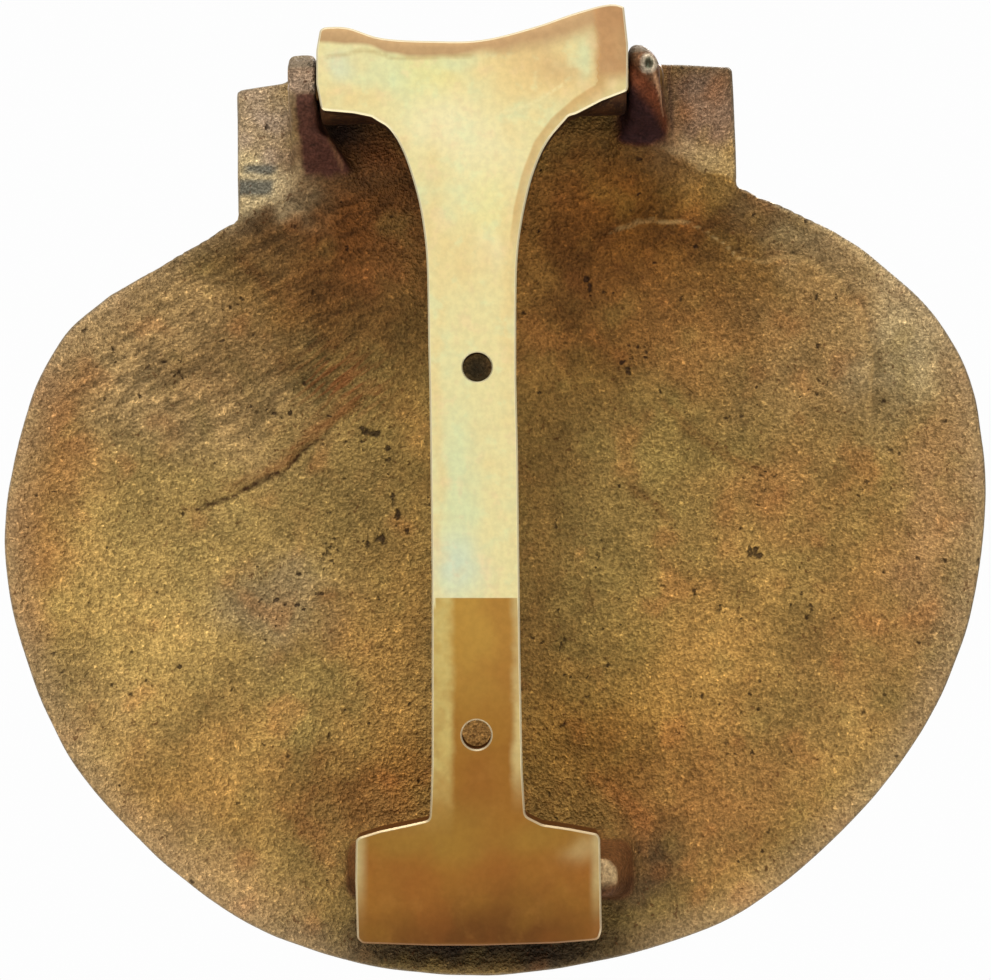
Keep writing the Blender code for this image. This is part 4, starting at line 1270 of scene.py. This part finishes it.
def cast_brass():
    sh = Shader("cast_brass_patina")
    back, bulged, wrinkle, streak, pitted = (
        sh.attribute(name) for name in ("back", "bulge", "wrinkle", "streaks", "pitted")
    )
    calm = sh.ramp(sh.attribute("calm"), 0.0, 1.0, 1.0, 0.2)
    grain, flecks, coarse = sh.noise(0.5, 1.0), sh.noise(0.85, 1.0), sh.noise(1.1)
    mottle, wide = sh.noise(4.5, 3.0, 0.6), sh.noise(24.0, 1.0)
    wrinkles = sh.noise(1.7, 2.0, 0.6, sh.turned(-28.0, 0.22))
    streaks = sh.noise(0.9, 1.0, 0.6, sh.turned(-38.0, 0.12))
    ripple = coarse.beside("Color")
    single = sh.attribute("single") + sh.ramp(coarse, 0.3, 0.7, 0.22, -0.22)
    pits = sh.ramp(single, 0.62, 1.0)
    for size, low, high in ((1.5, (0.0, 0.968), 0.45), (2.0, (0.35, 1.0), 0.6)):
        limit = sh.ramp(pitted, low[0], 1.0, low[1], high)
        pits = sh.math("MAXIMUM", sh.specks(size, limit, ripple), pits)

    # The stored colours: patina with painted shade and highlights in it.
    colour = sh.scaled(
        sh.attribute("patina", "Color"),
        sh.ramp(grain, 0.28, 0.74, 0.8, 1.24),
        sh.ramp(coarse, 0.32, 0.68, 0.82, 1.17),
        wrinkle * sh.ramp(wrinkles, 0.36, 0.62, -0.45, 0.27) + 1.0,
    )
    brown = sh.ramp(flecks, 0.62, 0.72) * sh.ramp(mottle, 0.42, 0.6, 0.1, 0.62) * calm
    golden = sh.ramp(flecks, 0.38, 0.28) * sh.ramp(mottle, 0.6, 0.4, 0.15, 0.7) * calm
    colour = sh.scaled(sh.layered(colour, (brown, (84, 46, 18))), golden + 1.0)
    ridge = sh.attribute("ridge") * sh.ramp(wrinkles, 0.35, 0.6, 0.3, 0.75)
    crest = sh.ramp(bulged, 0.04, 0.14, 0.0, 0.6) * sh.ramp(coarse, 0.4, 0.6)
    colour = sh.layered(
        colour,
        (streak * sh.ramp(streaks, 0.45, 0.6, 0.0, 0.75), (136, 80, 40)),
        (ridge * 0.75, (140, 82, 42)),
        ((sh.attribute("crease") + sh.ramp(coarse, 0.3, 0.7, -0.12, 0.18), 0.5, 0.05, 0.85), (76, 44, 22)),
        # A pale line along the lobed step: a painted highlight.
        ((sh.attribute("lobe"), 0.75, 0.1, 0.5), (188, 154, 98)),
        ((bulged, -0.01, -0.09, 0.7), (54, 32, 16)),
        (crest * calm, (200, 170, 118)),
        (pits * 0.82, (40, 24, 16)),
        ((sh.attribute("rim"), 0.75, 0.1, 0.65), (124, 112, 92)),
    )
    front = sh.layered(
        sh.mix(sh.ramp(wide, 0.3, 0.7), srgb(168, 128, 62), srgb(184, 146, 76)),
        ((mottle, 0.5, 0.75, 0.35), (138, 98, 46)),
        ((sh.attribute("valley") + sh.ramp(mottle, 0.3, 0.7, -0.3, 0.6), 1.9, 0.2, 0.85), (58, 38, 20)),
        ((bulged, 0.0, -0.05, 0.6), (62, 40, 20)),
        ((bulged, 0.02, 0.07, 0.5), (224, 192, 122)),
    )

    smooth, dull = sh.ramp(mottle, 0.3, 0.7, 0.28, 0.44), sh.ramp(grain, 0.3, 0.7, 0.72, 0.56)
    roughness = smooth + back * (dull - smooth)
    height = grain * 0.7 + coarse * 1.1 + streaks * streak + wrinkles * wrinkle - pits * 0.6
    normal = sh.bump(height, sh.ramp(back, 0.0, 1.0, 0.1, 1.0) * calm, 0.75)
    sh.surface.inputs["Specular IOR Level"].default_value = 0.2
    metallic = sh.ramp(back, 0.0, 1.0, 0.9, 0.55)
    return sh.finish(sh.mix(back, front, colour), roughness, metallic, Normal=normal)


def ground_brass():
    sh = Shader("ground_brass_satin")
    x_mm, y_mm, z_mm = (sh.axis(name, sh.where) * 1000.0 for name in "XYZ")
    mottle, hue = sh.noise(3.6, 2.0, 0.6), sh.noise(4.6, 3.0, 0.6)
    wide, cells, fine = sh.noise(13.0), sh.noise(1.3, 2.0, 0.6), sh.noise(0.5, 1.0, 0.6)
    scratch = sh.noise(0.8, 2.0, 0.7, sh.mapped("Scale", (0.12, 1.0, 1.0)))
    towards_door = sh.axis("Y", sh.where.beside("Normal"))
    face = sh.ramp(towards_door, 0.35, 0.6) * sh.ramp(y_mm, -1.3, -1.1)

    facet = sh.attribute("facet")
    facet = sh.ramp(facet, -0.3, 0.2) * sh.ramp(facet, 3.2, 0.2) * sh.ramp(z_mm, 50.0, 60.0, 0.0, 0.6)
    upper = sh.layered(
        sh.attribute("upper", "Color"),
        ((hue, 0.52, 0.7, 0.34), (240, 208, 160)),
        ((hue, 0.48, 0.3, 0.34), (222, 232, 182)),
        ((sh.attribute("band"), -1.0, 1.0, 0.92), (180, 142, 100)),
        ((sh.attribute("line"), 0.7, 0.0, 0.4), (176, 146, 88)),
        ((sh.attribute("end"), -0.8, 0.7, 0.85), (196, 148, 100)),
        (facet, (204, 156, 92)),
        ((sh.attribute("arc"), 0.5, 0.05, 0.5), (240, 226, 170)),
    )

    across = x_mm + sh.ramp(hue, 0.3, 0.7, -0.25, 0.25)
    left = sh.ramp(across, 3.4, 5.2) * sh.ramp(z_mm, -51.0, -34.0) * sh.ramp(mottle, 0.35, 0.65, 0.6, 0.95)
    right = sh.ramp(across, -5.4, -7.1) * sh.ramp(z_mm, -46.5, -34.0, 0.0, 0.75)
    sides = (sh.ramp(x_mm, 18.6, 20.9) + sh.ramp(x_mm, -19.2, -20.8)) * sh.ramp(z_mm, -48.5, -50.0)
    lower = sh.layered(
        sh.attribute("lower", "Color"),
        ((z_mm, -36.0, -12.0, 0.72), (194, 150, 68)),
        (left, (206, 184, 112)),
        (right, (220, 200, 136)),
        (sides * sh.ramp(z_mm, -66.0, -54.0, 0.05, 0.7), (204, 186, 130)),
        ((wide, 0.5, 0.66, 0.25), (148, 84, 36)),
        ((wide, 0.5, 0.36, 0.2), (168, 124, 48)),
        ((hue, 0.5, 0.72, 0.15), (176, 124, 58)),
    )

    # The change from the upper to the lower tone at z = -8.2 across the face is a painted reflection.
    inner = sh.ramp(x_mm, 7.4, 7.1) * sh.ramp(x_mm, -7.1, -6.9)
    inner = sh.math("MAXIMUM", inner, sh.ramp(z_mm, -8.6, -10.5))
    colour = sh.mix(sh.ramp(z_mm, -8.1, -8.25) * inner, upper, lower)
    # A pale line along the ground face's edges is a painted highlight, fainter lower down; the bottom edge is
    # painted darker, as shade.
    rim = sh.ramp(sh.attribute("edge"), 0.42, 0.28) * sh.ramp(z_mm, -68.0, -66.4, 0.1, 0.75)
    colour = sh.layered(
        sh.scaled(colour, sh.ramp(cells, 0.3, 0.7, 0.95, 1.05)),
        (rim * sh.ramp(z_mm, -50.0, -30.0, 0.55, 1.0), (250, 238, 200)),
        ((z_mm, -68.0, -68.3, 0.8), (120, 80, 40)),
    )
    # The sides and the barrel: a dark cast patina with painted shade in it, lighter towards the bottom.
    dark = sh.layered(
        sh.mix(sh.ramp(mottle, 0.35, 0.65), srgb(76, 48, 28), srgb(48, 30, 22)),
        ((z_mm, 10.0, -30.0, 0.8), (124, 78, 36)),
        ((fine, 0.5, 0.7, 0.4), (116, 84, 50)),
    )
    normal = sh.bump(scratch * 0.2 + cells * 0.8, sh.ramp(face, 0.0, 1.0, 1.0, 0.08), 0.06)
    return sh.finish(sh.mix(face, dark, colour), sh.ramp(face, 0.0, 1.0, 0.6, 0.36), 0.9, Normal=normal)


def pin_brass():
    sh = Shader("pin_brass_drawn")
    rings = sh.noise(0.5, 3.0, 0.6, sh.mapped("Scale", (1.0, 0.1, 0.1)))
    colour = sh.mix(sh.ramp(sh.noise(2.0, 3.0, 0.6), 0.35, 0.7), srgb(128, 94, 52), srgb(88, 60, 32))
    return sh.finish(colour, sh.ramp(rings, 0.3, 0.7, 0.28, 0.45), 0.95, Normal=sh.bump(rings, 0.25, 0.05))


def paint(obj, made):
    obj.data.materials.clear()
    obj.data.materials.append(made)


# ---------------------------------------------------------------- studio

# Name, place, width and height, and power.
LIGHTS = [
    ("key", (0.1, 0.45, 0.8), (0.5, 0.35), 6.0), ("fill", (0.0, 0.95, 0.0), (0.9, 0.9), 1.2),
    ("front_key", (-0.3, -0.75, 0.75), (0.5, 0.5), 9.0), ("front_fill", (0.7, -0.7, 0.1), (0.6, 0.6), 3.0),
]
FLOOR_Z, FLOOR_HALF_MM = -0.26, 750.0
# The camera looks along -Y at the object's back, as the photo does.
EYE = (-0.0032, 0.35, 0.0106)
LENS_MM, SENSOR_MM = 73.11, 36.0


def look_at(obj, place, target):
    obj.location = place
    obj.rotation_mode = "QUATERNION"
    obj.rotation_quaternion = (Vector(target) - obj.location).to_track_quat("-Z", "Y")


def studio():
    mesh = bmesh.new()
    bmesh.ops.create_grid(mesh, x_segments=1, y_segments=1, size=FLOOR_HALF_MM)
    floor = object_from(mesh, "floor")
    floor.location = (0, 0, FLOOR_Z)
    paint(floor, Shader("pale_floor").finish(srgb(240, 240, 238), 0.8, 0.0))

    world = bpy.data.worlds.new("studio")
    bpy.context.scene.world = world
    sky = Nodes(world)
    up = sky.axis("Z", sky.use("TexCoord", "Generated"))
    inputs = {"Value": up, "From Min": -0.7, "From Max": 0.8, "To Min": 0.22, "To Max": 0.75}
    glow = sky.tree.nodes["Background"]
    sky.feed(glow.inputs["Color"], (1.0, 0.985, 0.96))
    sky.feed(glow.inputs["Strength"], sky.use("MapRange", 0, inputs))
    seen = sky.use("Background", 0, {"Color": (1.0, 1.0, 1.0), "Strength": 0.985})
    camera_ray = sky.use("LightPath", "Is Camera Ray")
    both = sky.use("MixShader", 0, {0: camera_ray, 1: Value(sky, glow.outputs[0]), 2: seen})
    sky.feed(sky.tree.nodes["World Output"].inputs["Surface"], both)

    for name, place, size, power in LIGHTS:
        data = bpy.data.lights.new(name, "AREA")
        data.shape = "RECTANGLE"
        data.size, data.size_y = size
        data.energy = power
        look_at(placed(name, data), place, (0, 0, 0))


def camera():
    data = bpy.data.cameras.new("camera")
    data.sensor_width = SENSOR_MM
    data.lens = LENS_MM
    data.clip_start, data.clip_end = 0.01, 20.0
    obj = placed("camera", data)
    look_at(obj, EYE, (EYE[0], 0.0, EYE[2]))
    bpy.context.scene.camera = obj
    bpy.context.scene.view_settings.view_transform = "Standard"


shell = make_shell()
bracket = make_bracket()
pin = make_pin()
paint(shell, cast_brass())
paint(bracket, ground_brass())
paint(pin, pin_brass())
studio()
camera()
